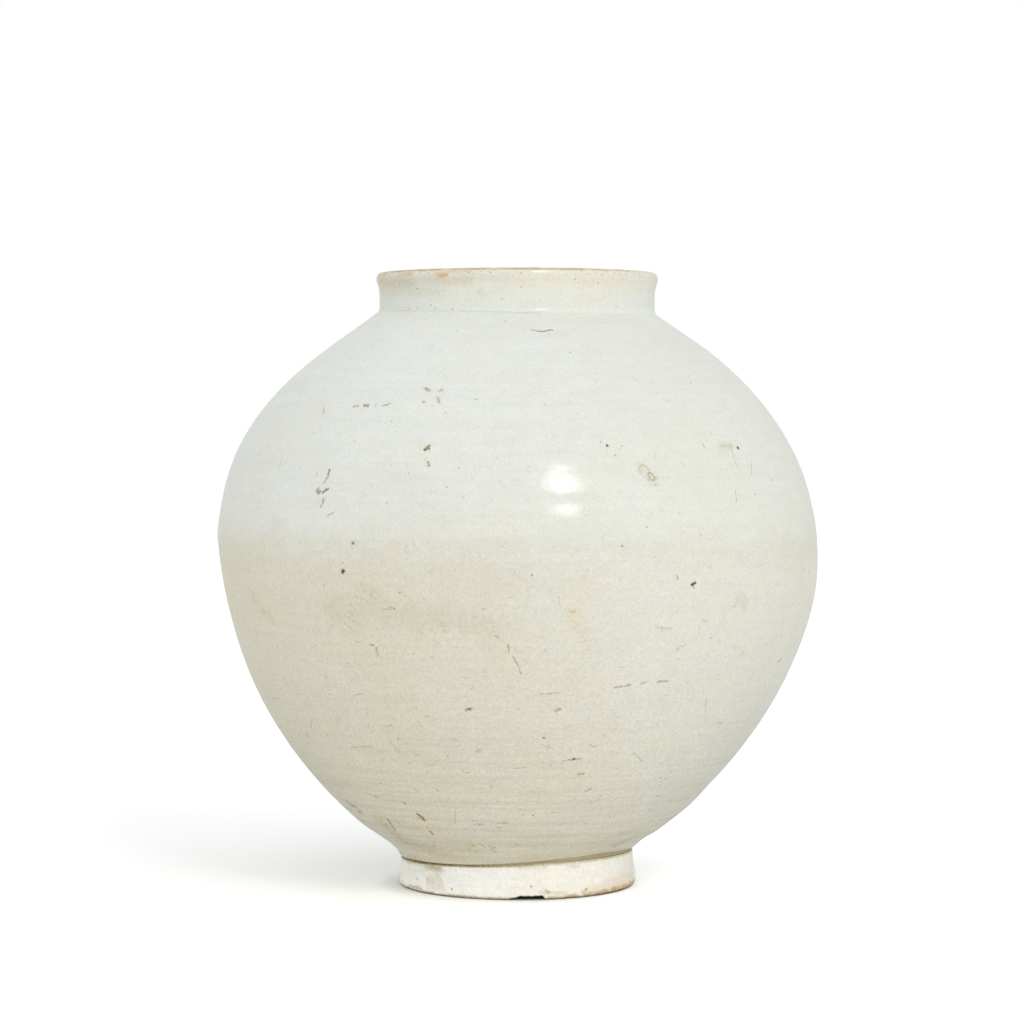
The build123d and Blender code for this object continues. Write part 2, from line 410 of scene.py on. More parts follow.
COLLAR_MARKS = {
    "bare": (
        (1.6, 404, 274.5, 411, 273), (1.8, 438, 275, 446, 275), (1.4, 439, 277, 444, 276.8),
        (1, 380, 276.5, 386, 275), (1.1, 524, 269, 540, 269),
    ),
    "blush": ((2.2, 399, 275.5, 412, 274.5), (2.4, 436, 273, 449, 272.5)),
    "flake": ((2.4, 397, 276, 412, 274), (2.4, 436, 274, 450, 271), (1.6, 452, 272, 470, 270.5)),
    "speck": (
        (0.5, 410, 274.3), (0.6, 468.5, 272.5), (0.5, 408.5, 309), (0.5, 418, 308.5),
        (0.5, 435, 308.7), (0.6, 452.5, 309), (0.5, 431, 305), (0.5, 502, 299), (0.6, 575.5, 279.5),
        (0.5, 579.5, 282.5), (0.6, 598, 283), (0.5, 521, 287),
    ),
    "smear": ((1.2, 440, 275.5, 447, 274.5),),
    "halo": ((3.2, 480, 290, 481, 296),),
    # Painted shade on the left of the collar, the side away from the lamps
    "haze_and_painted_shade": ((5, 384, 281, 470, 281), (6, 381, 291, 440, 292)),
    "stain": ((6.5, 380, 282, 410, 283),),
}

FOOT_MARKS = {
    "soil": (
        (1.8, 404, 857.5, 420, 861, 436, 865), (2.6, 429, 865.5, 437, 867.5),
        (0.6, 411, 889, 436, 895, 470, 897.5),
    ),
    "blush": ((4, 432, 878, 436, 886), (5, 605, 884, 632, 876), (3, 590, 888, 630, 881)),
    "smear": (
        (3, 408, 860, 430, 864), (3.8, 426, 866, 440, 869), (1.5, 409, 886, 418, 888),
        (0.9, 402, 881, 411, 888, 436, 894, 476, 897),
    ),
    "stain": (
        (3.8, 406, 859, 420, 861.5, 440, 866), (2, 520, 867, 545, 866), (2.4, 567, 865, 578, 866),
        (1.8, 541, 893, 566, 893),
    ),
    "flake": ((4.6, 431, 879, 434, 886), (3.6, 437, 877, 439, 886)),
    "scratch": ((0.5, 439, 876, 442, 882, 443.5, 890), (0.5, 428, 876, 427, 881, 428, 889)),
    "speck": ((0.9, 417, 879), (0.9, 452, 889), (0.5, 443, 871)),
    "rust": ((0.5, 432, 882), (0.5, 436, 879)),
    "tan": ((0.5, 433, 888), (1.3, 546, 891, 549, 892.5)),
    "iron": ((0.6, 531, 886.6), (0.5, 585.5, 889.5)),
    # Painted shade on the foot's left, under the bowl's edge
    "haze_and_painted_shade": ((6, 410, 869, 425, 873),),
    "warm": ((4.5, 606, 884, 633, 875), (3, 595, 889, 630, 882), (3.5, 431, 879, 436, 887)),
    "bare": ((1.6, 583, 892, 587, 890), (1.6, 417, 887, 421, 889)),
}

LONGEST_RUN = 12  # pixels between the points of a stroke, which keep it on the curved wall
HALF_FRAME = IMAGE_SIZE / 2
FOCAL_PIXELS = CAMERA_LENS / CAMERA_SENSOR * IMAGE_SIZE

# Marks on each bowl's sides and back, which no view shows
UNSEEN_MARKS = 75
UNSEEN_KINDS = ("speck", "speck", "speck", "faint", "iron", "rust", "tan", "scratch", "halo")
UNSEEN_TURNS = (-4, 184)  # degrees
UNSEEN_LENGTHS = (0.0, 0.0, 4.0, 8.0)  # millimetres
BROAD_WIDTHS = (4.0, 10.0)  # half widths in millimetres
FINE_WIDTHS = (0.45, 0.9)
LEAN = 0.25  # radians from level
SCRATCH_LEAN = (-1.5, 1.5)
USUAL_RADIUS = 0.2

# Outline and colour of a mark
SOLID = 0.2  # share of its half width that is fully coloured
SOLID_IRON = 0.75
MARK_END = 1.2  # half widths to where its colour ends
RAGGED_SHARE = 0.3  # of its outline
FINE_SHARE = 0.45
OUTLINE_LIMITS = (0.35, 1.7)
PATCHY_SHARE = (0.85, 0.4, 0.25, 1)  # of its colour
PATCHY_TURNS = 0.7  # keeps the patches apart from the outline


def seen_point(surfaces, pixel_x, pixel_y):
    """The nearest point of some surfaces that the camera sees at a pixel."""
    right = (pixel_x - HALF_FRAME) / FOCAL_PIXELS
    up = (HALF_FRAME - pixel_y) / FOCAL_PIXELS
    cos, sin = math.cos(CAMERA_PITCH), math.sin(CAMERA_PITCH)
    way = Vector((right, cos + up * sin, up * cos - sin)).normalized()
    hits = [surface.ray_cast(Vector(CAMERA_PLACE), way) for surface in surfaces]
    hits = [(hit[3], hit[0]) for hit in hits if hit[0] is not None]
    return np.array(min(hits, key=lambda hit: hit[0])[1]) if hits else None


def with_short_runs(pixels):
    """A stroke's pixels with more put in between, so that no run is long."""
    corners = np.array(pixels, float).reshape(-1, 2)
    short = [corners[0]]
    for start, end in zip(corners[:-1], corners[1:]):
        count = math.ceil(np.linalg.norm(end - start) / LONGEST_RUN)
        short += [start + (end - start) * (i + 1) / count for i in range(count)]
    return short


def seen_strokes(surfaces, tables):
    """Marks as strokes on the surfaces: kind, half width and the points in metres."""
    marks = [(kind, mark) for table in tables for kind in table for mark in table[kind]]
    strokes = []
    for kind, (half_width, *pixels) in marks:
        points = [seen_point(surfaces, *pixel) for pixel in with_short_runs(pixels)]
        points = [p for p in points if p is not None]
        if points:
            strokes.append((kind, half_width * MM, np.array(points)))
    return strokes


def unseen_strokes(wall, low, high):
    """Marks of the same kinds on the sides and back of a wall."""
    strokes = []
    for kind in rng.choice(UNSEEN_KINDS, UNSEEN_MARKS):
        turn = math.radians(rng.uniform(*UNSEEN_TURNS))
        height = rng.uniform(low, high)
        half_width = rng.uniform(*(BROAD_WIDTHS if kind == "halo" else FINE_WIDTHS))
        length = rng.choice(UNSEEN_LENGTHS) * MM
        if kind in ("speck", "iron"):
            length = 0.0
        lean = rng.normal(0, LEAN)
        if kind == "scratch":
            lean = rng.uniform(*SCRATCH_LEAN)
        points = []
        for away in (-length / 2, length / 2):
            there = turn + away * math.cos(lean) / USUAL_RADIUS
            level = np.clip(height + away * math.sin(lean), low, high)
            radius = wall.radius(level)
            across = wall.drift(level) + radius * math.cos(there)
            raised = level + float(height_shift(there, level))
            points.append((across, radius * math.sin(there), raised))
        strokes.append((str(kind), half_width * MM, np.array(points)))
    return strokes


def distance_to_stroke(points, stroke):
    """Distance of each point from a stroke of straight runs."""
    nearest = np.linalg.norm(points - stroke[0], axis=1)
    for start, end in zip(stroke[:-1], stroke[1:]):
        run = end - start
        length = max(float(run @ run), 1e-12)
        share = np.clip((points - start) @ run / length, 0, 1)
        away = np.linalg.norm(points - start - share[:, None] * run, axis=1)
        nearest = np.minimum(nearest, away)
    return nearest


def mark_layers(points, strokes):
    """Relief in metres and the iron, stain and bare shares that the strokes give each point."""
    turns = np.arctan2(points[:, 1], points[:, 0])
    relief = np.zeros(len(points))
    layers = np.zeros((len(points), 3))
    for kind, half_width, stroke in strokes:
        depth, *shares = KINDS[kind]
        middle = stroke.mean(axis=0)
        reach = np.linalg.norm(stroke - middle, axis=1).max() + 2 * half_width
        near = np.nonzero(np.linalg.norm(points - middle, axis=1) < reach)[0]
        if not len(near):
            continue
        turn, level = turns[near], points[near, 2]
        wobble = 1 + RAGGED_SHARE * ragged(turn, level)
        wobble += FINE_SHARE * ragged_fine(turn, level)
        away = distance_to_stroke(points[near], stroke)
        away = away / (half_width * np.clip(wobble, *OUTLINE_LIMITS))
        cover = 1 - ease(away, SOLID_IRON if kind == "iron" else SOLID, MARK_END)
        if kind != "iron":
            cover *= varied(ragged_fine, turn * PATCHY_TURNS, level, *PATCHY_SHARE)
        relief[near] -= depth * MM * cover
        layers[near] = np.maximum(layers[near], cover[:, None] * np.array(shares))
    return relief, layers


# Meshes

SHARP = math.radians(40)  # corners past this aren't shaded as round
REFINE_MARGIN = 1.6 * MM  # round a mark
REFINE_CUTS = 4
STROKE_MARGIN = 20 * MM  # above and below a piece


def ring_turns(count):
    """The turns of a ring's points, with the first at the back."""
    return math.pi / 2 + np.arange(count) * 2 * math.pi / count


def ring_mesh(name, radius, height, poles=False):
    """A closed mesh of rings from the radius and height of every ring at every turn.

    With poles, the first and last rings close onto a point of the axis; without, the last
    ring joins the first.
    """
    rows, count = radius.shape
    turn = ring_turns(count)
    points = np.empty((rows, count, 3))
    points[..., 0] = radius * np.cos(turn)
    points[..., 1] = radius * np.sin(turn)
    points[..., 2] = height
    points = points.reshape(-1, 3)
    here = np.arange(count)
    after = (here + 1) % count
    faces = []
    for row in range(rows - 1 if poles else rows):
        low = row * count
        high = (row + 1) % rows * count
        quads = np.stack((low + here, low + after, high + after, high + here), axis=1)
        faces.extend(quads.tolist())
    if poles:
        ends = [(0, 0, height[0, 0]), (0, 0, height[-1, 0])]
        last = (rows - 1) * count
        faces.extend(np.stack((after, here, np.full(count, rows * count)), axis=1).tolist())
        tip = np.full(count, rows * count + 1)
        faces.extend(np.stack((last + here, last + after, tip), axis=1).tolist())
        points = np.concatenate((points, ends))
    mesh = bpy.data.meshes.new(name)
    mesh.from_pydata(points.tolist(), [], faces)
    mesh.update()
    return mesh


def points_of(mesh):
    """A mesh's points."""
    flat = np.empty(len(mesh.vertices) * 3)
    mesh.vertices.foreach_get("co", flat)
    return flat.reshape(-1, 3)


def surface_of(mesh, points):
    """A search tree of a mesh's faces with its points at given places."""
    return BVHTree.FromPolygons(points.tolist(), [list(p.vertices) for p in mesh.polygons])


def in_place(points, outer):
    """The skin of a mesh whose points are already where they belong."""
    return points


def refine(mesh, strokes, outer, skin=in_place):
    """Divides the outer faces near small marks, so that their relief shows."""
    plain = points_of(mesh)
    mesh.vertices.foreach_set("co", skin(plain, outer).ravel())
    mesh.update()
    middles = np.empty(len(mesh.polygons) * 3)
    mesh.polygons.foreach_get("center", middles)
    middles = middles.reshape(-1, 3)
    mesh.vertices.foreach_set("co", plain.ravel())
    chosen = np.zeros(len(middles), bool)
    for kind, half_width, stroke in strokes:
        if KINDS[kind][0] > 0:
            chosen |= distance_to_stroke(middles, stroke) < half_width + REFINE_MARGIN
    shape = bmesh.new()
    shape.from_mesh(mesh)
    shape.faces.ensure_lookup_table()
    edges = set()
    for i in np.nonzero(chosen)[0]:
        if all(outer[v.index] for v in shape.faces[i].verts):
            edges.update(shape.faces[i].edges)
    bmesh.ops.subdivide_edges(shape, edges=list(edges), cuts=REFINE_CUTS, use_grid_fill=True)
    shape.to_mesh(mesh)
    shape.free()


def strokes_at(points, strokes):
    """The strokes that are about as high as a piece's points."""
    low, high = points[:, 2].min() - STROKE_MARGIN, points[:, 2].max() + STROKE_MARGIN
    return [stroke for stroke in strokes if low < stroke[2][:, 2].mean() < high]


def add_object(name, data):
    """A new object in the scene."""
    item = bpy.data.objects.new(name, data)
    bpy.context.scene.collection.objects.link(item)
    return item


def finish_piece(mesh, points, layers, node, material):
    """Sets a mesh's points and mark layers, and puts it in the place of its solid."""
    mesh.vertices.foreach_set("co", points.ravel())
    shape = bmesh.new()
    shape.from_mesh(mesh)
    bmesh.ops.recalc_face_normals(shape, faces=shape.faces)
    for edge in shape.edges:
        edge.smooth = edge.calc_face_angle(0.0) < SHARP
    shape.to_mesh(mesh)
    shape.free()
    marks = mesh.attributes.new("marks", "FLOAT_COLOR", "POINT")
    colours = np.ones((len(points), 4))
    colours[:, :3] = layers
    marks.data.foreach_set("color", colours.ravel())
    mesh.polygons.foreach_set("use_smooth", np.ones(len(mesh.polygons), bool))
    mesh.materials.append(material)
    mesh.update()
    piece = add_object(mesh.name, mesh)
    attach(piece, "root")
    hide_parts(node)


# Skin of the bowls

ROUNDING = 0.7 * MM  # of the lower bowl's edge at the foot
ROUNDING_DEPTH = 0.42 * MM
BASE_FLARE = (0.7 * MM, 0.7 * MM, 0, 70)  # of the lower bowl where it turns into the foot
BASE_FLARE_TOP = BOWL_BASE + 12 * MM
EDGE_ROWS = np.array((0.0, 0.15, 0.4, 0.8, 1.4)) * MM
FINE_LEVELS = 2000
SWELL = (0.0, 2.2 * MM, 0, 100)  # of the lower bowl above the foot, on the right
SWELL_RISE = (27 * MM, 37 * MM)
SWELL_FADE = (54 * MM, 78 * MM)
HOLLOW = (0.0, 2.3 * MM, 180, 100)  # of the lower bowl above the foot, on the left
HOLLOW_RISE = (BOWL_BASE, BOWL_BASE + 4 * MM)
HOLLOW_FADE = (28 * MM, 50 * MM)
UNDERSIDE_FADE = (0.05, 0.08)  # distance from the axis where the underside meets the foot


def arc_levels(wall, low, high, step):
    """Heights that divide a wall's profile into runs of about equal length."""
    fine = np.linspace(low, high, FINE_LEVELS)
    runs = np.hypot(np.diff(fine), np.diff(wall.radius(fine)))
    along = np.concatenate(([0], np.cumsum(runs)))
    count = int(along[-1] / step)
    return np.interp(np.linspace(0, along[-1], count + 1), along, fine)


def outer_levels(wall, low, high):
    """Heights of a bowl's outer rings, close together at its two edges."""
    inside = EDGE_ROWS[-1] + ROW_STEP / 2
    between = arc_levels(wall, low + inside, high - inside, ROW_STEP)
    return np.concatenate((low + EDGE_ROWS, between, (high - EDGE_ROWS)[::-1]))


def bowl_mesh(name, out, inner, profile, poles):
    """A bowl's plain rings from its profile, (radius, height, is outer) of each ring."""
    radius = np.array([p[0] for p in profile])
    height = np.array([p[1] for p in profile])
    mesh = ring_mesh(
        name,
        np.repeat(radius[:, None], SEGMENTS, axis=1),
        np.repeat(height[:, None], SEGMENTS, axis=1),
        poles,
    )
    outer = np.repeat(np.array([p[2] for p in profile]), SEGMENTS)
    if poles:
        outer = np.concatenate((outer, (False, False)))
    points = points_of(mesh)
    inner_drift = inner.drift(np.clip(points[:, 2], FLOOR_TOP, NECK))
    points[:, 0] += np.where(outer, out.drift(points[:, 2]), inner_drift)
    mesh.vertices.foreach_set("co", points.ravel())
    return mesh, outer


def base_shape(turn, level):
    """Relief of the lower bowl's wall close to the foot."""
    edge = (1 - np.clip((level - BOWL_BASE) / ROUNDING, 0, 1)) ** 2
    flare = more_at(turn, *BASE_FLARE) * (1 - ease(level, BOWL_BASE, BASE_FLARE_TOP))
    swell = ease(level, *SWELL_RISE) * (1 - ease(level, *SWELL_FADE))
    hollow = ease(level, *HOLLOW_RISE) * (1 - ease(level, *HOLLOW_FADE))
    sides = more_at(turn, *SWELL) * swell - more_at(turn, *HOLLOW) * hollow
    return flare - ROUNDING_DEPTH * edge + sides


def bowl_skin(out, points, outer, relief=0.0):
    """Where the points of a bowl's plain rings go, with all its unevenness."""
    level = points[:, 2]
    turn = np.arctan2(points[:, 1], points[:, 0] - out.drift(level))
    slope = out.slope(level)
    steep = np.sqrt(1 + slope**2)
    depth = throwing(turn, level) + relief + base_shape(turn, level)
    far = out.radius(level) + depth / steep
    skin = np.empty_like(points)
    skin[:, 0] = far * np.cos(turn) + out.drift(level)
    skin[:, 1] = far * np.sin(turn)
    skin[:, 2] = level - depth * slope / steep + height_shift(turn, level)
    hidden = points.copy()
    from_axis = np.hypot(points[:, 0], points[:, 1])
    near_foot = height_shift(turn, level) * ease(from_axis, *UNDERSIDE_FADE)
    from_waist = np.abs(level - UPPER_RIM)
    inner_move = waist_shift(turn) * (1 - ease(from_waist, 0, INNER_WAIST_REACH))
    inner_move += neck_shift(turn) * ease(level, INNER_NECK_START, NECK)
    hidden[:, 2] += np.where(level < BOWL_BASE + EDGE, near_foot, inner_move)
    return np.where(outer[:, None], skin, hidden)


lower_skin = partial(bowl_skin, lower_out)
upper_skin = partial(bowl_skin, upper_out)


def dress_bowl(mesh, outer, skin, strokes, node, material):
    """Marks a bowl's skin and puts it in the place of its solid."""
    strokes = strokes_at(skin(points_of(mesh), outer), strokes)
    refine(mesh, strokes, outer, skin)
    plain = points_of(mesh)
    outer = np.concatenate((outer, np.ones(len(plain) - len(outer), bool)))
    relief, layers = mark_layers(skin(plain, outer), strokes)
    layers[~outer] = 0
    finish_piece(mesh, skin(plain, outer, relief), layers, node, material)


# Materials


def srgb(red, green, blue):
    """A linear colour from screen values up to 255."""
    values = np.array((red, green, blue)) / 255
    linear = np.where(values <= 0.04045, values / 12.92, ((values + 0.055) / 1.055) ** 2.4)
    return (*(float(v) for v in linear), 1.0)


EVEN = (1, 1, 1)
FLAT = (0.5, 0.5, 14)  # streaks run round the jar

# Noise over the object's own coordinates: scale, detail, roughness and stretch
NOISES = {
    "clouds": (8.0, 3.0, 0.55, EVEN),
    "blotches": (30.0, 5.0, 0.65, (1, 1, 1.4)),
    "streaks": (20.0, 5.0, 0.6, FLAT),
    "mottle": (70.0, 3.0, 0.55, (1, 1, 1.8)),
    "grain": (520.0, 3.0, 0.7, EVEN),
    "speckle": (1500.0, 1.0, 0.55, EVEN),
    "rosy": (55.0, 4.0, 0.6, EVEN),
    "drops": (38.0, 5.0, 0.65, EVEN),
    "breaks": (150.0, 2.0, 0.55, EVEN),
    "patches": (420.0, 3.0, 0.55, EVEN),
    "peel": (150.0, 3.0, 0.6, EVEN),
}
NOISE_SPAN = (0.3, 0.7)  # where nearly all of a noise's values are

MIX_A = 6  # sockets of a colour mix
MIX_B = 7
MIX_COLOUR = 2


class Shader:
    """The nodes of a material or world, with short ways to add more."""

    def __init__(self, owner, place="Object"):
        owner.use_nodes = True
        self.tree = owner.node_tree
        self.tree.nodes.clear()
        self.place = self.add("TexCoord").outputs[place]

    def add(self, kind, inputs=None, **settings):
        """A node whose inputs take values or other nodes' outputs."""
        node = self.tree.nodes.new("ShaderNode" + kind)
        for name, value in settings.items():
            setattr(node, name, value)
        for name, value in (inputs or {}).items():
            if isinstance(value, bpy.types.NodeSocket):
                self.tree.links.new(value, node.inputs[name])
            else:
                node.inputs[name].default_value = value
        return node

    def mix(self, share, first, second, blend="MIX"):
        """Two colours mixed by a share from 0 to 1."""
        inputs = {0: share, MIX_A: first, MIX_B: second}
        return self.add("Mix", inputs, data_type="RGBA", blend_type=blend).outputs[MIX_COLOUR]

    def maths(self, operation, first, second=0.0):
        """The result of one operation on two numbers."""
        return self.add("Math", {0: first, 1: second}, operation=operation).outputs[0]

    plus = partialmethod(maths, "ADD")
    times = partialmethod(maths, "MULTIPLY")

    def vector(self, operation, first, second=(0, 0, 0)):
        """The node of one operation on two vectors."""
        return self.add("VectorMath", {0: first, 1: second}, operation=operation)

    def along(self, way):
        """How far a place is along a way."""
        return self.vector("DOT_PRODUCT", self.place, way).outputs["Value"]

    def axes(self):
        """A place's coordinates."""
        return self.add("SeparateXYZ", {0: self.place}).outputs

    def ranged(self, value, low, high, to_low=0.0, to_high=1.0):
        """A value mapped smoothly from one range to another."""
        inputs = {
            "Value": value,
            "From Min": low,
            "From Max": high,
            "To Min": to_low,
            "To Max": to_high,
        }
        return self.add("MapRange", inputs, interpolation_type="SMOOTHSTEP").outputs[0]

    def noise(self, name):
        """One of the kinds of noise."""
        scale, detail, roughness, stretch = NOISES[name]
        moved = self.add("Mapping", {"Vector": self.place, "Scale": stretch}).outputs[0]
        inputs = {"Vector": moved, "Scale": scale, "Detail": detail, "Roughness": roughness}
        return self.add("TexNoise", inputs).outputs[0]

    def spread(self, noise, low, high):
        """A noise mapped to a range."""
        return self.ranged(noise, *NOISE_SPAN, low, high)

    def cells(self, scale, place=None, **settings):
        """Cells all over a place."""
        return self.add("TexVoronoi", {"Vector": place or self.place, "Scale": scale}, **settings)


# Iron black, also the colour of the painted shadows in the chip and at the foot's contact with the
# table
IRON_AND_SHADOW_BLACK = srgb(42, 29, 14)
STAIN_PASSES = (0.24, 0.19, 0.095)  # share of red, green and blue that a full stain lets through
CLAY = srgb(216, 170, 112)
ROSY = srgb(226, 208, 184)
ROSY_SPAN = (0.45, 0.75)
ROSY_SHARE = 0.4
STREAKY = 0.015
STREAK_LEVELS = (0.04, 0.15)  # heights between which the streaks fade
MOTTLED = 0.014
GRAIN_LEVELS = (0.06, 0.24)  # heights between which the grain gets finer
GRAIN_GAIN = 1.5

SEAM_LEVEL = UPPER_RIM - 1.0 * MM  # where the two glazes meet, at the axis
SEAM_LEAN = (-0.0023, -0.0139)  # rise of that level per metre across and back
SEAM_RAGGED = 7 * MM
SEAM_SPAN = (0.25, 0.75)
SEAM_BLUR = (19 * MM, 9 * MM)  # on the left and from the middle on
SEAM_BLUR_FADE = (-0.2, -0.02)

FLECK_SCALE = 130.0
FLECK_SIZES = (0.035, 0.09)  # in cells
FLECK_RARITY = (0.62, 0.95)
BEND_SCALE = 120.0  # of the hairlines
BEND_DETAIL = 3.0
BEND = 0.012
HAIR_SCALE = 90.0
HAIR_WIDTH = (0.035, 0.008)  # in cells
HAIR_BREAKS = (0.59, 0.69)
WORN_SPAN = (0.3, 0.6)
WORN_LEAST = 0.6

ROUGHNESS = (0.25, 0.35)
BARE_ROUGHER = 0.4
COAT_ROUGHNESS = 0.16
COAT_IOR = 2.5
PIT_SCALE = 260.0
PIT_WIDTH = (0.05, 0.25)  # in cells
PEEL_RELIEF = 0.8
PIT_RELIEF = 0.1
HAIR_RELIEF = 0.3
BUMP_STRENGTH = 0.2
BUMP_HEIGHT = 0.6 * MM


def toned(shader, patches, tone):
    """A colour that goes from cool to warm along a lean, unevenly."""
    cool, warm, lean, (start, end) = tone
    share = shader.plus(shader.ranged(shader.along(lean), start, end), patches)
    return shader.mix(share, cool, warm)


def below_seam(shader):
    """1 in the lower bowl's glaze and 0 in the upper's, which run into each other at the seam."""
    level = shader.along((-SEAM_LEAN[0], -SEAM_LEAN[1], 1))
    drops = shader.ranged(shader.noise("drops"), *SEAM_SPAN, -SEAM_RAGGED, SEAM_RAGGED)
    blur = shader.ranged(shader.axes()[0], *SEAM_BLUR_FADE, *SEAM_BLUR)
    top = shader.plus(blur, SEAM_LEVEL)
    bottom = shader.maths("SUBTRACT", SEAM_LEVEL, blur)
    return shader.ranged(shader.plus(level, drops), top, bottom)


def shade_of(shader, grainy, streak_gain):
    """How light the glaze is: grain and streaks, both stronger near the foot, and mottling."""
    height = shader.axes()[2]
    grain = shader.spread(shader.noise("grain"), -1, 1)
    grain = shader.plus(grain, shader.spread(shader.noise("speckle"), -1, 1))
    coarse = shader.ranged(height, *GRAIN_LEVELS, GRAIN_GAIN * grainy, grainy)
    streaks = shader.spread(shader.noise("streaks"), -1, 1)
    streaky = shader.ranged(height, *STREAK_LEVELS, streak_gain * STREAKY, STREAKY)
    shade = shader.plus(shader.times(grain, coarse), 1.0)
    shade = shader.times(shade, shader.plus(shader.times(streaks, streaky), 1.0))
    mottle = shader.spread(shader.noise("mottle"), 1 - MOTTLED, 1 + MOTTLED)
    return shader.times(shade, mottle)


def flecks(shader, flecked):
    """Stain of the small flecks in the glaze."""
    cells = shader.cells(FLECK_SCALE)
    chance = shader.add("SeparateColor", {0: cells.outputs["Color"]}).outputs
    size = shader.ranged(chance[1], 0.0, 1.0, *FLECK_SIZES)
    dot = shader.maths("LESS_THAN", cells.outputs["Distance"], size)
    return shader.times(dot, shader.ranged(chance[0], *FLECK_RARITY, 0.0, flecked))


def hairlines(shader, hairy):
    """Stain of the short hairlines in the glaze."""
    inputs = {"Vector": shader.place, "Scale": BEND_SCALE, "Detail": BEND_DETAIL}
    bend = shader.add("TexNoise", inputs).outputs["Color"]
    bend = shader.vector("MULTIPLY", bend, (BEND, BEND, BEND)).outputs[0]
    moved = shader.vector("ADD", shader.place, bend).outputs[0]
    cracks = shader.cells(HAIR_SCALE, moved, feature="DISTANCE_TO_EDGE").outputs["Distance"]
    broken = shader.ranged(shader.noise("breaks"), *HAIR_BREAKS)
    return shader.times(shader.ranged(cracks, *HAIR_WIDTH, 0.0, hairy), broken)


def glaze(
    name, tones, blotchy=0.3, grainy=0.03, hairy=0.3, flecked=0.4, coat=0.27, streak_gain=5.0
):
    """Glaze over porcelain, with clouds, grain, flecks, short hairlines and the marks on it.

    A tone is a cool and a warm colour, the lean along which one turns into the other, and
    the range of that in metres. The first of two tones is below the seam.
    """
    material = bpy.data.materials.new(name)
    shader = Shader(material)

    blotches = shader.noise("blotches")
    patches = shader.spread(shader.noise("clouds"), -blotchy, blotchy)
    patches = shader.plus(patches, shader.spread(blotches, -blotchy, blotchy))
    colour = toned(shader, patches, tones[0])
    if len(tones) > 1:
        colour = shader.mix(below_seam(shader), toned(shader, patches, tones[1]), colour)
    rosy = shader.ranged(shader.noise("rosy"), *ROSY_SPAN, 0.0, ROSY_SHARE * blotchy)
    colour = shader.mix(rosy, colour, ROSY)
    shade = shade_of(shader, grainy, streak_gain)
    shade = shader.add("CombineColor", {0: shade, 1: shade, 2: shade}).outputs[0]
    colour = shader.mix(1.0, colour, shade, "MULTIPLY")

    marks = shader.add("Attribute", attribute_name="marks").outputs["Color"]
    # The stain layer holds painted shade as well as real stains, and the iron layer painted shadows
    # as well as iron spots
    iron, stain, bare = shader.add("SeparateColor", {0: marks}).outputs
    worn = shader.ranged(shader.noise("patches"), *WORN_SPAN, WORN_LEAST, 1.0)
    hair = hairlines(shader, hairy)
    stain = shader.plus(shader.times(stain, worn), shader.plus(flecks(shader, flecked), hair))
    passes = {i: shader.maths("POWER", share, stain) for i, share in enumerate(STAIN_PASSES)}
    stained = shader.add("CombineColor", passes).outputs[0]
    colour = shader.mix(1.0, colour, stained, "MULTIPLY")
    colour = shader.mix(shader.times(bare, worn), colour, CLAY)
    colour = shader.mix(iron, colour, IRON_AND_SHADOW_BLACK)

    rough = shader.plus(shader.times(bare, BARE_ROUGHER), shader.spread(blotches, *ROUGHNESS))
    pits = shader.ranged(shader.cells(PIT_SCALE).outputs["Distance"], *PIT_WIDTH)
    relief = shader.times(shader.noise("peel"), PEEL_RELIEF)
    relief = shader.plus(relief, shader.times(pits, PIT_RELIEF))
    relief = shader.maths("SUBTRACT", relief, shader.times(hair, HAIR_RELIEF))
    inputs = {"Strength": BUMP_STRENGTH, "Distance": BUMP_HEIGHT, "Height": relief}
    bump = shader.add("Bump", inputs).outputs[0]
    inputs = {
        "Base Color": colour,
        "Roughness": rough,
        "Specular IOR Level": 0.0,
        "Normal": bump,
        "Coat Weight": coat,
        "Coat Roughness": COAT_ROUGHNESS,
        "Coat IOR": COAT_IOR,
        "Coat Normal": bump,
    }
    surface = shader.add("BsdfPrincipled", inputs).outputs[0]
    shader.add("OutputMaterial", {"Surface": surface})
    return material


DOWN = (0, 0, -1)
DOWN_LEFT = (-0.8, -0.2, -0.5)
UPPER_TONE = (srgb(221, 224, 218), srgb(220, 220, 210), (0.35, 0, -1), (-0.44, -0.22))
LOWER_TONE = (srgb(217, 215, 203), srgb(215, 209, 188), DOWN_LEFT, (-0.16, 0.08))
COLLAR_TONE = (srgb(222, 225, 216), srgb(224, 219, 203), (0, 0, 1), (0.415, 0.437))
FOOT_TONE = (srgb(251, 250, 245), srgb(245, 241, 231), (0.3, 0, -1), (-0.05, 0.03))
# The foot slip's colour, darkened partly as painted shade from the bowl's overhang
SLIP_TONE_WITH_PAINTED_SHADE = (srgb(184, 170, 140), srgb(172, 155, 124), DOWN, (-0.03, -0.02))
BODY = (LOWER_TONE, UPPER_TONE)
COLLAR = (COLLAR_TONE,)
FOOT = (FOOT_TONE,)
upper_glaze = glaze("upper_glaze", BODY, blotchy=0.2, grainy=0.04, hairy=0.09, flecked=0.45)
lower_glaze = glaze("lower_glaze", BODY, blotchy=0.25, grainy=0.055, hairy=0.2, flecked=0.42)
waist_glaze = glaze("waist_glaze", BODY, blotchy=0.22, grainy=0.05, hairy=0.2, flecked=0.5)
collar_glaze = glaze("collar_glaze", COLLAR, blotchy=0.22, grainy=0.04, hairy=0.1, flecked=0.5)
foot_glaze = glaze(
    "foot_glaze", FOOT, grainy=0.035, hairy=0.14, flecked=0.5, coat=0.1, streak_gain=1.2
)
slip_glaze_with_painted_shade = glaze("slip_glaze_with_painted_shade", (SLIP_TONE_WITH_PAINTED_SHADE,), coat=0.05)


# Bowls

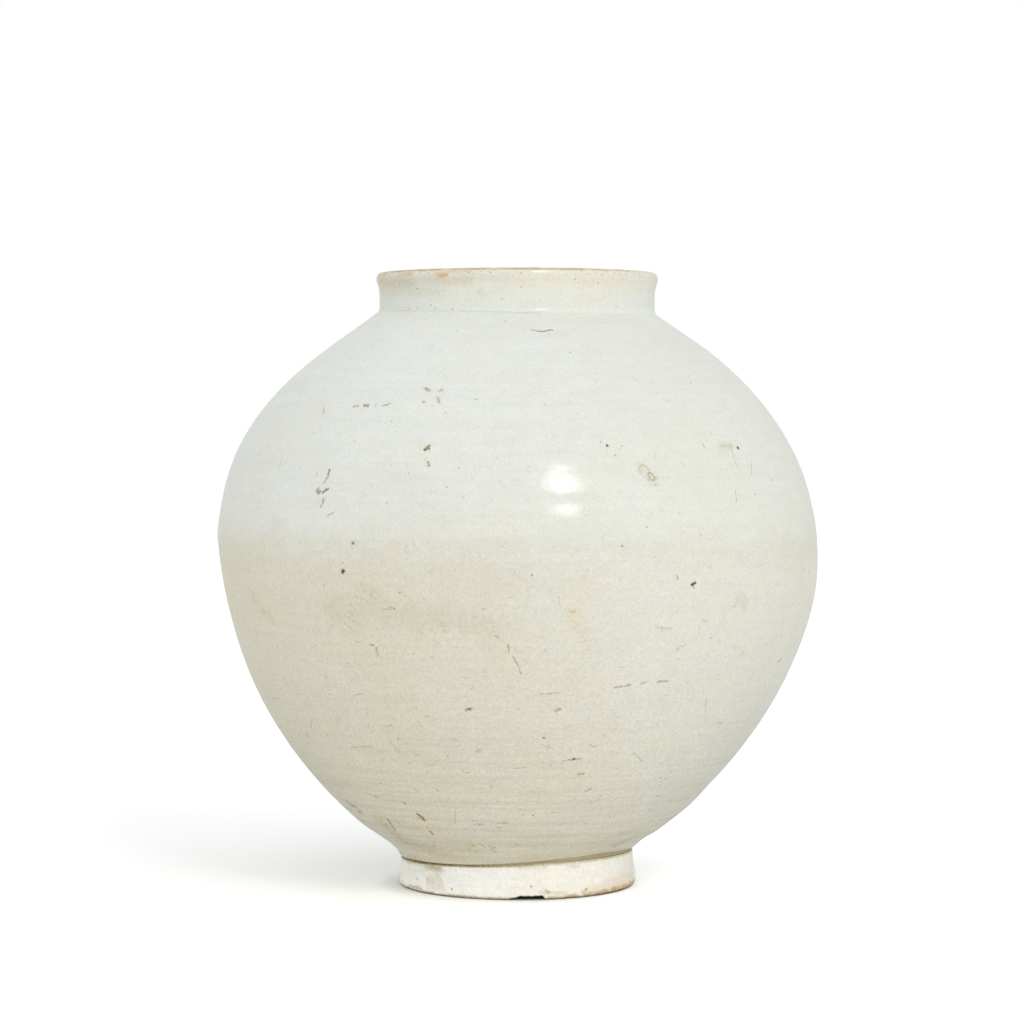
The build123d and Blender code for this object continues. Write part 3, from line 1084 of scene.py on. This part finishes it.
UNDERSIDE_RADII = (6, 22, 40, 55, 64, 70, 75, 79, 81.5, 82.4)  # millimetres
FLOOR_RADII = (74, 56, 38, 20, 6)
RIM_SHARES = (0.12, 0.5, 0.88)  # of the way across the rim
NECK_SHARES = (0.15, 0.5, 0.9)
THROAT_SHARES = (0.0, 0.5, 1.0)
THROAT_DROP = 0.3 * MM
THROAT_CLEAR = 2 * MM
THROAT_LEVELS = 400
LOWER_INNER_STEP = 9 * MM
UPPER_INNER_STEP = 8 * MM


def up_wall(wall, levels, outer):
    """Rings of a bowl's profile up a wall: radius, height and whether it is outer."""
    return [(wall.radius(level), level, outer) for level in levels]


def level_rings(start, end, level, shares):
    """Rings of a bowl's profile from one radius to another on one level."""
    return [(start + share * (end - start), level, False) for share in shares]


lower_profile = [(r * MM, BOWL_BASE, False) for r in UNDERSIDE_RADII]
lower_profile += up_wall(lower_out, outer_levels(lower_out, BOWL_BASE, LOWER_RIM), True)
rim_out, rim_in = lower_out.radius(LOWER_RIM), lower_in.radius(LOWER_RIM)
lower_profile += level_rings(rim_out, rim_in, LOWER_RIM, RIM_SHARES)
inner_levels = arc_levels(lower_in, FLOOR_TOP, LOWER_RIM, LOWER_INNER_STEP)
lower_profile += up_wall(lower_in, inner_levels[::-1], False)
lower_profile += [(r * MM, FLOOR_TOP, False) for r in FLOOR_RADII]
lower_mesh, lower_outer = bowl_mesh(
    "lower_bowl_glazed", lower_out, lower_in, lower_profile, poles=True
)

upper_profile = up_wall(upper_out, outer_levels(upper_out, UPPER_RIM, NECK), True)
upper_profile += level_rings(upper_out.radius(NECK), MOUTH_RADIUS, NECK, NECK_SHARES)
levels = np.linspace(UPPER_RIM, NECK, THROAT_LEVELS)
throat = float(levels[np.argmax(upper_in.radius(levels) < MOUTH_RADIUS)])
for share in THROAT_SHARES:
    level = NECK - THROAT_DROP + share * (throat - NECK)
    upper_profile.append((MOUTH_RADIUS, level, False))
inner_levels = arc_levels(upper_in, UPPER_RIM, throat - THROAT_CLEAR, UPPER_INNER_STEP)
upper_profile += up_wall(upper_in, inner_levels[::-1], False)
rim_out, rim_in = upper_out.radius(UPPER_RIM), upper_in.radius(UPPER_RIM)
upper_profile += level_rings(rim_out, rim_in, UPPER_RIM, RIM_SHARES[::-1])
upper_mesh, upper_outer = bowl_mesh(
    "upper_bowl_glazed", upper_out, upper_in, upper_profile, poles=False
)


# Collar

# Radius, and height above the foot of the collar, in millimetres
COLLAR_LINE = (
    (98.9, 0.0), (98.9, 2.0), (98.9, 4.0), (98.9, 8.0), (99.2, 14.0), (100.2, 18.5),
    (101.2, 21.3), (101.2, 23.6), (100.3, 25.6), (98.4, 26.7), (96.4, 26.4), (95.0, 24.8),
    (94.4, 21.8), (93.6, 14.0), (92.9, 6.0), (92.5, 0.0),
)
COLLAR_LUMPS = 0.5  # share of the bowls' unevenness
COLLAR_RINGS = 0.35
COLLAR_RING_PITCH = 1.5
LIP_RAGGED = 0.1 * MM
LIP_LOWER = 0.6  # of the ragged lip, which stays under the top of the jar
SKIRT = (1.3 * MM, 2.6 * MM, -30, 75)  # smoothed out wide on the right
SKIRT_TOP = 8 * MM  # above which the collar's wall is upright
SKIRT_CURVE = 2.2
SKIRT_EMBED = 0.12 * MM
SHOULDER_TALL = 15 * MM
SHOULDER_LEVELS = 60


def smooth_rows(points, count):
    """Points along a smooth line through a few (radius, height) points."""
    points = np.array(points, float)
    runs = np.linalg.norm(np.diff(points, axis=0), axis=1)
    knots = np.concatenate(([0], np.cumsum(runs)))
    tangents = np.gradient(points, knots, axis=0)
    out = []
    for at in np.linspace(0, knots[-1], count):
        i = min(np.searchsorted(knots, at, side="right") - 1, len(runs) - 1)
        u = (at - knots[i]) / runs[i]
        a, b = points[i], points[i + 1]
        ta, tb = tangents[i] * runs[i], tangents[i + 1] * runs[i]
        h = (2 * u**3 - 3 * u**2 + 1, u**3 - 2 * u**2 + u, -2 * u**3 + 3 * u**2, u**3 - u**2)
        out.append(h[0] * a + h[1] * ta + h[2] * b + h[3] * tb)
    return np.array(out)


def spun(line, rows, count):
    """A smooth line turned about the axis: turn, radius and height of every ring's points."""
    points = smooth_rows(line, rows) * MM
    turns = np.repeat(ring_turns(count)[None, :], rows, axis=0)
    return turns, np.repeat(points[:, :1], count, axis=1), np.repeat(points[:, 1:], count, axis=1)


turn = ring_turns(SEGMENTS)
turns, collar_radius, collar_rise = spun(COLLAR_LINE, COLLAR_ROWS, SEGMENTS)
outside = (np.arange(COLLAR_ROWS) < np.argmax(collar_rise[:, 0]))[:, None]
collar_tall = JAR_TOP - COLLAR_FOOT
skirt = more_at(turn, *SKIRT)
shoulder_levels = np.linspace(NECK, NECK - SHOULDER_TALL, SHOULDER_LEVELS)
shoulder_radii = upper_out.radius(shoulder_levels)
skirt_level = np.interp(collar_radius[0, 0] + skirt, shoulder_radii, shoulder_levels)
skirt_drop = COLLAR_FOOT - skirt_level + SKIRT_EMBED
collar_radius += COLLAR_LUMPS * lumps(turns, collar_rise)
collar_radius += COLLAR_RINGS * throwing_rings(turns, collar_rise * COLLAR_RING_PITCH)
stretch = np.clip(1 - collar_rise / SKIRT_TOP, 0, 1) * outside
collar_rise = collar_rise - skirt_drop * stretch
skirt_height = SKIRT_CURVE * skirt / -upper_out.slope(NECK)
flare = np.clip(1 - (collar_rise + skirt_drop) / skirt_height, 0, 1) ** SKIRT_CURVE
collar_radius += skirt * flare * outside
lip_share = ease(collar_rise, collar_tall / 2, collar_tall)
collar_height = COLLAR_FOOT + collar_rise + neck_shift(turn) * (1 - collar_rise / collar_tall)
lip_ragged = ragged_coarse(turns) - LIP_LOWER
collar_height += lip_share * LIP_RAGGED * lip_ragged
collar_mesh = ring_mesh("collar_glazed", collar_radius, np.minimum(collar_height, JAR_TOP))


# Foot ring

# Radius, and height above the table, in millimetres
FOOT_LINE = (
    (70.4, 20.6), (70.6, 18.0), (71.2, 11.0), (71.9, 4.0), (72.2, 1.2), (72.8, 0.3),
    (74.0, 0.0), (78.0, 0.0), (83.4, 0.0), (84.8, 0.05), (85.4, 0.4), (85.6, 1.2),
    (85.5, 3.0), (85.0, 7.0), (84.4, 11.0), (83.9, 15.0), (83.6, 19.0), (83.5, 20.4),
    (83.2, 20.8), (80.0, 20.8), (75.0, 20.8), (71.0, 20.8),
)
FOOT_OUTSIDE = (0.080, 0.0835)  # distance from the axis where the outside begins
FOOT_LUMPS = 0.5
FOOT_RAGGED = 0.12 * MM
FOOT_DRIFT = (0.65 * MM, -0.9 * MM)  # to the right at the table, and how much less at the top
BEVEL = (0.0, 2.4 * MM, 5, 65)  # of the bottom edge on the right
BEVEL_TALL = 4.5 * MM
BLUNT = (0.0, 1.2 * MM, -150, 75)  # of the bottom edge on the left
BLUNT_TALL = 2.2 * MM
EDGE_CURVE = 1.5

# Chip in the bottom edge, along it in degrees from the front
CHIP_HEIGHT = 2.3 * MM
CHIP_TOP = 6.0 * MM  # above which the wall is whole
CHIP_REACH = (0.0785, 0.0842)  # distance from the axis where it begins
CHIP_SLIVER = 0.25  # share of its height in the thin end
CHIP_SLIVER_START = (-5.0, -3.0)
CHIP_START = (-2.4, 2.0)
CHIP_END = (11.4, 13.6)
CHIP_TORN = 0.12
CHIP_TORN_TURNS = 2.0


def chip_rise(turn):
    """How far the chip in the foot's bottom edge reaches up."""
    along = (np.degrees(turn) + 270) % 360 - 180
    rise = CHIP_SLIVER * ease(along, *CHIP_SLIVER_START)
    rise = rise + (1 - CHIP_SLIVER) * ease(along, *CHIP_START)
    torn = 1 + CHIP_TORN * ragged_coarse(turn * CHIP_TORN_TURNS)
    return CHIP_HEIGHT * rise * (1 - ease(along, *CHIP_END)) * torn


def edge_curve(rise, tall):
    """1 at the table, curving to 0 at a height."""
    return np.clip(1 - rise / tall, 0, 1) ** EDGE_CURVE


foot_turns, foot_radius, foot_rise = spun(FOOT_LINE, FOOT_ROWS, FOOT_SEGMENTS)
foot_turn = foot_turns[0]
foot_rise = np.maximum(foot_rise, 0)
foot_outside = ease(foot_radius, *FOOT_OUTSIDE)
broken = chip_rise(foot_turn) * ease(foot_radius, *CHIP_REACH)
broken = broken * (1 - np.clip(foot_rise / CHIP_TOP, 0, 1))
uneven = FOOT_LUMPS * lumps(foot_turns, foot_rise)
uneven += FOOT_RAGGED * ragged_coarse(foot_turns, foot_rise)
uneven -= edge_curve(foot_rise, BEVEL_TALL) * more_at(foot_turn, *BEVEL)
uneven -= edge_curve(foot_rise, BLUNT_TALL) * more_at(foot_turn, *BLUNT)
uneven += np.cos(foot_turn) * (FOOT_DRIFT[0] + FOOT_DRIFT[1] * foot_rise / FOOT_TOP)
foot_radius += foot_outside * uneven
foot_height = foot_rise * foot_top(foot_turn) / FOOT_TOP + broken
foot_mesh = ring_mesh("foot_glazed", foot_radius, foot_height)


# Marks

UNSEEN_MARGIN = 4 * MM  # clear of the waist
UNSEEN_END_MARGIN = 8 * MM  # clear of the foot and the neck
IRON_AND_SHADOW_LAYER, STAIN_AND_SHADE_LAYER, BARE_LAYER = range(3)

surfaces = [
    surface_of(lower_mesh, lower_skin(points_of(lower_mesh), lower_outer)),
    surface_of(upper_mesh, upper_skin(points_of(upper_mesh), upper_outer)),
    surface_of(collar_mesh, points_of(collar_mesh)),
    surface_of(foot_mesh, points_of(foot_mesh)),
]
strokes = seen_strokes(surfaces, (UPPER_MARKS, LOWER_MARKS, COLLAR_MARKS, FOOT_MARKS))
strokes += unseen_strokes(lower_out, BOWL_BASE + UNSEEN_END_MARGIN, LOWER_RIM - UNSEEN_MARGIN)
strokes += unseen_strokes(upper_out, UPPER_RIM + UNSEEN_MARGIN, NECK - UNSEEN_END_MARGIN)

dress_bowl(lower_mesh, lower_outer, lower_skin, strokes, "lower_bowl", lower_glaze)
dress_bowl(upper_mesh, upper_outer, upper_skin, strokes, "upper_bowl", upper_glaze)


def deepen(layers, layer, share):
    """Raises one layer of the marks, at the first points, to a share that is more."""
    count = len(share)
    layers[:count, layer] = np.maximum(layers[:count, layer], share)


# Wear of the collar

LIP_WEAR = (JAR_TOP - 2.2 * MM, JAR_TOP - 0.9 * MM)  # heights between which it begins
LIP_WEAR_SHARE = (0.75, 0.45, 0.25, 1)
LIP_WEAR_ROUND = (1, -0.85, -20, 55)  # hardly any in one place
LIP_STAIN = 0.42
LIP_BARE = 0.3
FRECKLES = (JAR_TOP - 9 * MM, JAR_TOP - 2 * MM)  # heights between which they begin
FRECKLE_SHARE = (-0.8, 1, 0, 0.35)
FRECKLE_SPREAD = 0.6
JOINT_DIRT = (0.25, 0.15, 0, 1)
JOINT_DIRT_TALL = 1.0 * MM
JOINT_DIRT_PLACE = (-140, 55)

points = points_of(collar_mesh)
collar_strokes = strokes_at(points, strokes)
refine(collar_mesh, collar_strokes, np.ones(len(points), bool))
points = points_of(collar_mesh)
relief, layers = mark_layers(points, collar_strokes)
away = np.hypot(points[:, 0], points[:, 1])
points[:, :2] *= (1 + relief / away)[:, None]
level = points[:, 2]
round_turn = np.arctan2(points[:, 1], points[:, 0])
worn = ease(level, *LIP_WEAR) * varied(ragged_coarse, round_turn, level, *LIP_WEAR_SHARE)
worn *= more_at(round_turn, *LIP_WEAR_ROUND)
spread_out = (round_turn * FRECKLE_SPREAD, level * FRECKLE_SPREAD)
freckled = ease(level, *FRECKLES) * varied(ragged_fine, *spread_out, *FRECKLE_SHARE)
above = level - NECK - neck_shift(round_turn)
joint_dirt = varied(ragged, round_turn, 0.0, *JOINT_DIRT)
joint_dirt *= (1 - ease(above, 0, JOINT_DIRT_TALL)) * bump_round(round_turn, *JOINT_DIRT_PLACE)
deepen(layers, STAIN_AND_SHADE_LAYER, LIP_STAIN * worn + freckled + joint_dirt)
deepen(layers, BARE_LAYER, LIP_BARE * worn)
finish_piece(collar_mesh, points, layers, "mouth_collar", collar_glaze)


# Wear of the foot, with painted shadow and shade on it

WEAR_REACH = (3.0 * MM, 3.4 * MM, -25, 60)  # height above the table
WEAR_FULL = 0.4  # share of that height with full wear
WEAR_OUTSIDE = (0.0805, 0.083)  # distance from the axis where it begins
NICK_DEPTH = 0.9 * MM
NICK_SHARE = (-0.35, 1, 0, 1.5)
NICK_LEVELS = 0.3
GRIT = 0.7  # on average, and how far it varies
GRIT_VARY = 0.6
GRIT_COARSE = 0.5
GRIT_STAIN = (0.34, 0.3, -25, 62)
GRIT_BARE = (0.2, 0.6, -25, 62)
# Painted shadow in the chip: its faces go iron black
CHIP_SHADOW_DEEP = 0.6 * MM
CHIP_SHADOW_FADE = (0.6 * MM, 1.6 * MM)
PAINTED_SHADOW_START = 0.5 * MM  # of the painted contact shadow, a dark line at the table
PAINTED_SHADOW_TALL = (1.8 * MM, 0.8 * MM, -25, 62)
PAINTED_SHADOW_DARK = (0.7, 0.25, -25, 62)
PAINTED_SHADOW_OUTSIDE = (0.0795, 0.082)
# Stain along the foot's top edge, under the bowl, most on the left: partly dirt, partly painted
# shade
TOP_STAIN_AND_SHADE = (0.3, 0.8, -135, 70)
TOP_STAIN_AND_SHADE_RISE = (19.2 * MM, 20.4 * MM)

points = points_of(foot_mesh)
relief, layers = mark_layers(points, strokes_at(points, strokes))
level = points[:, 2]
away = np.hypot(points[:, 0], points[:, 1])
round_turn = np.arctan2(points[:, 1], points[:, 0])
reach = more_at(round_turn, *WEAR_REACH)
edge = (1 - ease(level, WEAR_FULL * reach, reach)) * ease(away, *WEAR_OUTSIDE)
nick = varied(ragged_coarse, round_turn, level * NICK_LEVELS, *NICK_SHARE)
relief -= NICK_DEPTH * nick * edge
points[:, :2] *= (1 + relief / away)[:, None]
grit = GRIT + GRIT_VARY * ragged(round_turn, level)
grit += GRIT_COARSE * ragged_coarse(round_turn, level)
grit = edge * np.clip(grit, 0, 1)
deepen(layers, STAIN_AND_SHADE_LAYER, more_at(round_turn, *GRIT_STAIN) * grit)
deepen(layers, BARE_LAYER, more_at(round_turn, *GRIT_BARE) * grit)
# Painted shadow: the chip's raised faces turn iron black, as if in shade under the foot
painted_chip_shadow = np.clip(broken / CHIP_SHADOW_DEEP, 0, 1) * (1 - ease(foot_rise, *CHIP_SHADOW_FADE))
deepen(layers, IRON_AND_SHADOW_LAYER, painted_chip_shadow.ravel())
# Painted contact shadow: iron black low on the foot's outer wall, next to the table
painted_contact_shadow = 1 - ease(level, PAINTED_SHADOW_START, more_at(round_turn, *PAINTED_SHADOW_TALL))
painted_contact_shadow *= ease(away, *PAINTED_SHADOW_OUTSIDE) * more_at(round_turn, *PAINTED_SHADOW_DARK)
deepen(layers, IRON_AND_SHADOW_LAYER, painted_contact_shadow)
# Partly painted shade under the bowl's edge
darkening = more_at(foot_turn, *TOP_STAIN_AND_SHADE) * ease(foot_rise, *TOP_STAIN_AND_SHADE_RISE) * foot_outside
deepen(layers, STAIN_AND_SHADE_LAYER, darkening.ravel())
finish_piece(foot_mesh, points, layers, "foot_ring", foot_glaze)


# Luting slip

SLIP_DIRT = 0.9
FOOT_SLIP_INNER = (0.0709, 0.0750)
FOOT_SLIP_OUTER = (83.05 * MM, 0.4 * MM, 0, 60)
FOOT_SLIP_RAGGED = 0.08 * MM
FOOT_SLIP_ROUND = 0.3 * MM
FOOT_SLIP_SHARES = (0.2, 0.8)  # of its height, where its face is flat
WAIST_SLIP_DEEP = 3 * MM
NECK_SLIP = (0.0931, 0.0986)  # inner and outer radius
BEAD_JOIN = 0.3 * MM
BEAD_LINE = ((0.0, 2.6), (2.0, 2.2), (3.4, 0.8))  # millimetres inwards, and past the joint
BEAD_DEPTH = 3.8 * MM


def slip_ring(name, node, rows, material, dirty=()):
    """A slip layer from the radius and height of its rings at every turn, some of them dirty."""
    radius = np.array([np.broadcast_to(r, SEGMENTS) for r, h in rows])
    height = np.array([np.broadcast_to(h, SEGMENTS) for r, h in rows])
    mesh = ring_mesh(name, radius, height)
    points = points_of(mesh)
    darkening = np.zeros((len(rows), SEGMENTS))
    darkening[list(dirty)] = SLIP_DIRT
    near = strokes_at(points, strokes)
    refine(mesh, near, np.ones(len(points), bool))
    layers = mark_layers(points_of(mesh), near)[1]
    deepen(layers, STAIN_AND_SHADE_LAYER, darkening.ravel())
    finish_piece(mesh, points_of(mesh), layers, node, material)


low, high = foot_top(turn), foot_top(turn) + foot_gap(turn)
slip_face = more_at(turn, *FOOT_SLIP_OUTER)
slip_face += FOOT_SLIP_RAGGED * ragged_coarse(turn)
rows = [(radius, low) for radius in FOOT_SLIP_INNER]
rows += [(slip_face - FOOT_SLIP_ROUND, low)]
rows += [(slip_face, low + share * (high - low)) for share in FOOT_SLIP_SHARES]
rows += [(slip_face - FOOT_SLIP_ROUND, high)]
rows += [(radius, high) for radius in FOOT_SLIP_INNER[::-1]]
slip_ring("foot_joint_slip", "foot_slip", rows, slip_glaze_with_painted_shade, dirty=(2, 5))

low, high = LOWER_RIM + waist_shift(turn), UPPER_RIM + waist_shift(turn)
middle = (low + high) / 2
lower_face = lower_out.radius(LOWER_RIM) + throwing(turn, np.full(SEGMENTS, LOWER_RIM))
upper_face = upper_out.radius(UPPER_RIM) + throwing(turn, np.full(SEGMENTS, UPPER_RIM))
bead = lower_in.radius(LOWER_RIM)
rows = [(bead + BEAD_JOIN, low), (lower_face - WAIST_SLIP_DEEP, low), (lower_face, low)]
rows += [((lower_face + upper_face) / 2, middle)]
rows += [(upper_face, high), (upper_face - WAIST_SLIP_DEEP, high), (bead + BEAD_JOIN, high)]
rows += [(bead - inwards * MM, high + past * MM) for inwards, past in BEAD_LINE]
rows += [(bead - BEAD_DEPTH, middle)]
rows += [(bead - inwards * MM, low - past * MM) for inwards, past in BEAD_LINE[::-1]]
slip_ring("waist_joint_slip", "waist_slip", rows, waist_glaze)

low, high = NECK + neck_shift(turn), COLLAR_FOOT + neck_shift(turn)
neck_in, neck_out = NECK_SLIP
rows = [(neck_in, low), (neck_in, high), (neck_out, high), (neck_out, low)]
slip_ring("neck_joint_slip", "neck_slip", rows, collar_glaze)


# Floor, world, lamps and camera

WHITE = (1, 1, 1, 1)
FLOOR_HALF = 6.0
FLOOR_COLOUR = (0.97, 0.97, 0.965, 1)
# Painted shade in what the floor sends back to the jar: darker behind the jar, and close beside it
# where the jar's shadow falls
FLOOR_PAINTED_SHADE = (0.2, 0.205, 0.21, 1)
FLOOR_FADE = (-0.05, 0.25)
SIDES_FADE = (-0.08, 0.1)
SIDES_WIDEN = 0.6
SIDES_SHARE = 0.75
SIDES_REACH = (0.42, 0.22)
SIDES_START = (0.1, 0.18)
# Tops the lit floor up to white for the eye, less on the shaded side
FLOOR_GLOW = (0.22, 0.42)
GLOW_FADE = (-0.06, 0.12)
CONTACT_FADE = (0.084, 0.108)  # from the axis: close to the foot there is less of the glow
CONTACT_GLOW = (0.0, 0.75)  # its share right beside the foot, on the left and on the right
CONTACT_SIDES = (0.02, 0.08)

FILL_FROM = (-0.3, -0.75, 0.58)  # the side that the studio is bright on
FILL_STRENGTH = (0.36, 0.805)
FILL_FADE = (-0.8, 0.1)
FILL_COOL = (0.95, 1.0, 1.01, 1)
FILL_WARM = (1.0, 0.995, 0.985, 1)
FILL_TINT = (-0.4, 0.8)

LAMP_TARGET = Vector((0.032, -0.21, 0.288))
LAMP_DISTANCE = 5.0


def lit_by_path(shader, plain, shown):
    """One shader for light that falls on the object, another for what the eye or a gloss sees."""
    path = shader.add("LightPath").outputs
    seen = shader.maths("MAXIMUM", path["Is Camera Ray"], path["Is Glossy Ray"])
    seen = shader.maths("MAXIMUM", seen, path["Is Transmission Ray"])
    return shader.add("MixShader", {0: seen, 1: plain, 2: shown}).outputs[0]


mesh = bpy.data.meshes.new("floor")
corners = [(-1, -1), (1, -1), (1, 1), (-1, 1)]
mesh.from_pydata([(x * FLOOR_HALF, y * FLOOR_HALF, 0) for x, y in corners], [], [(0, 1, 2, 3)])
floor = add_object("floor", mesh)
floor_material = bpy.data.materials.new("floor")
shader = Shader(floor_material)
paper = shader.add("BsdfDiffuse", {"Color": FLOOR_COLOUR}).outputs[0]
across, back = shader.axes()[:2]
from_axis = shader.vector("LENGTH", shader.place).outputs["Value"]
beside = shader.times(shader.maths("ABSOLUTE", across), SIDES_WIDEN)
beside = shader.ranged(shader.plus(back, beside), *SIDES_FADE)
close = shader.ranged(from_axis, *SIDES_START)
close = shader.times(close, shader.ranged(from_axis, *SIDES_REACH))
close = shader.times(close, shader.times(beside, SIDES_SHARE))
dim = shader.maths("MAXIMUM", close, shader.ranged(back, *FLOOR_FADE))
shade = shader.mix(dim, FLOOR_COLOUR, FLOOR_PAINTED_SHADE)
bounce = shader.add("BsdfDiffuse", {"Color": shade}).outputs[0]
at_foot = shader.ranged(across, *CONTACT_SIDES, *CONTACT_GLOW)
topped = shader.ranged(across, *GLOW_FADE, *FLOOR_GLOW)
topped = shader.times(topped, shader.ranged(from_axis, *CONTACT_FADE, at_foot, 1.0))
glow = shader.add("Emission", {"Color": WHITE, "Strength": topped}).outputs[0]
white = shader.add("AddShader", {0: paper, 1: glow}).outputs[0]
shader.add("OutputMaterial", {"Surface": lit_by_path(shader, bounce, white)})
mesh.materials.append(floor_material)

world = bpy.data.worlds.new("studio")
bpy.context.scene.world = world
shader = Shader(world, "Generated")
facing = shader.along(FILL_FROM)
strength = shader.ranged(facing, *FILL_FADE, *FILL_STRENGTH)
tint = shader.mix(shader.ranged(facing, *FILL_TINT), FILL_COOL, FILL_WARM)
fill = shader.add("Background", {"Color": tint, "Strength": strength}).outputs[0]
shown = shader.add("Background", {"Color": WHITE, "Strength": 1.0}).outputs[0]
shader.add("OutputWorld", {"Surface": lit_by_path(shader, fill, shown)})


def add_lamp(name, kind, turn, rise, glossy, **settings):
    """A lamp that shines on the jar from a turn to the right of the camera and a rise. Degrees."""
    light = bpy.data.lights.new(name, kind)
    for setting, value in settings.items():
        setattr(light, setting, value)
    turn, rise = math.radians(turn), math.radians(rise)
    flat = math.cos(rise)
    towards = Vector((math.sin(turn) * flat, -math.cos(turn) * flat, math.sin(rise)))
    lamp = add_object(name, light)
    lamp.rotation_euler = towards.to_track_quat("Z", "Y").to_euler()
    lamp.location = LAMP_TARGET + LAMP_DISTANCE * towards
    lamp.visible_glossy = glossy


add_lamp("key", "AREA", 20.5, 36.2, True, shape="ELLIPSE", size=1.0, size_y=1.6, energy=33.0)
add_lamp("side", "SUN", 49, 24, False, angle=math.radians(26), energy=0.53)
add_lamp(
    "left", "SUN", -88, 28, False, angle=math.radians(40), energy=0.36, color=(0.9, 1.0, 1.06)
)

camera_data = bpy.data.cameras.new("camera")
camera_data.lens = CAMERA_LENS
camera_data.sensor_width = CAMERA_SENSOR
camera = add_object("camera", camera_data)
camera.location = CAMERA_PLACE
camera.rotation_euler = (math.pi / 2 - CAMERA_PITCH, 0, 0)
bpy.context.scene.camera = camera
bpy.context.scene.view_settings.view_transform = "Standard"
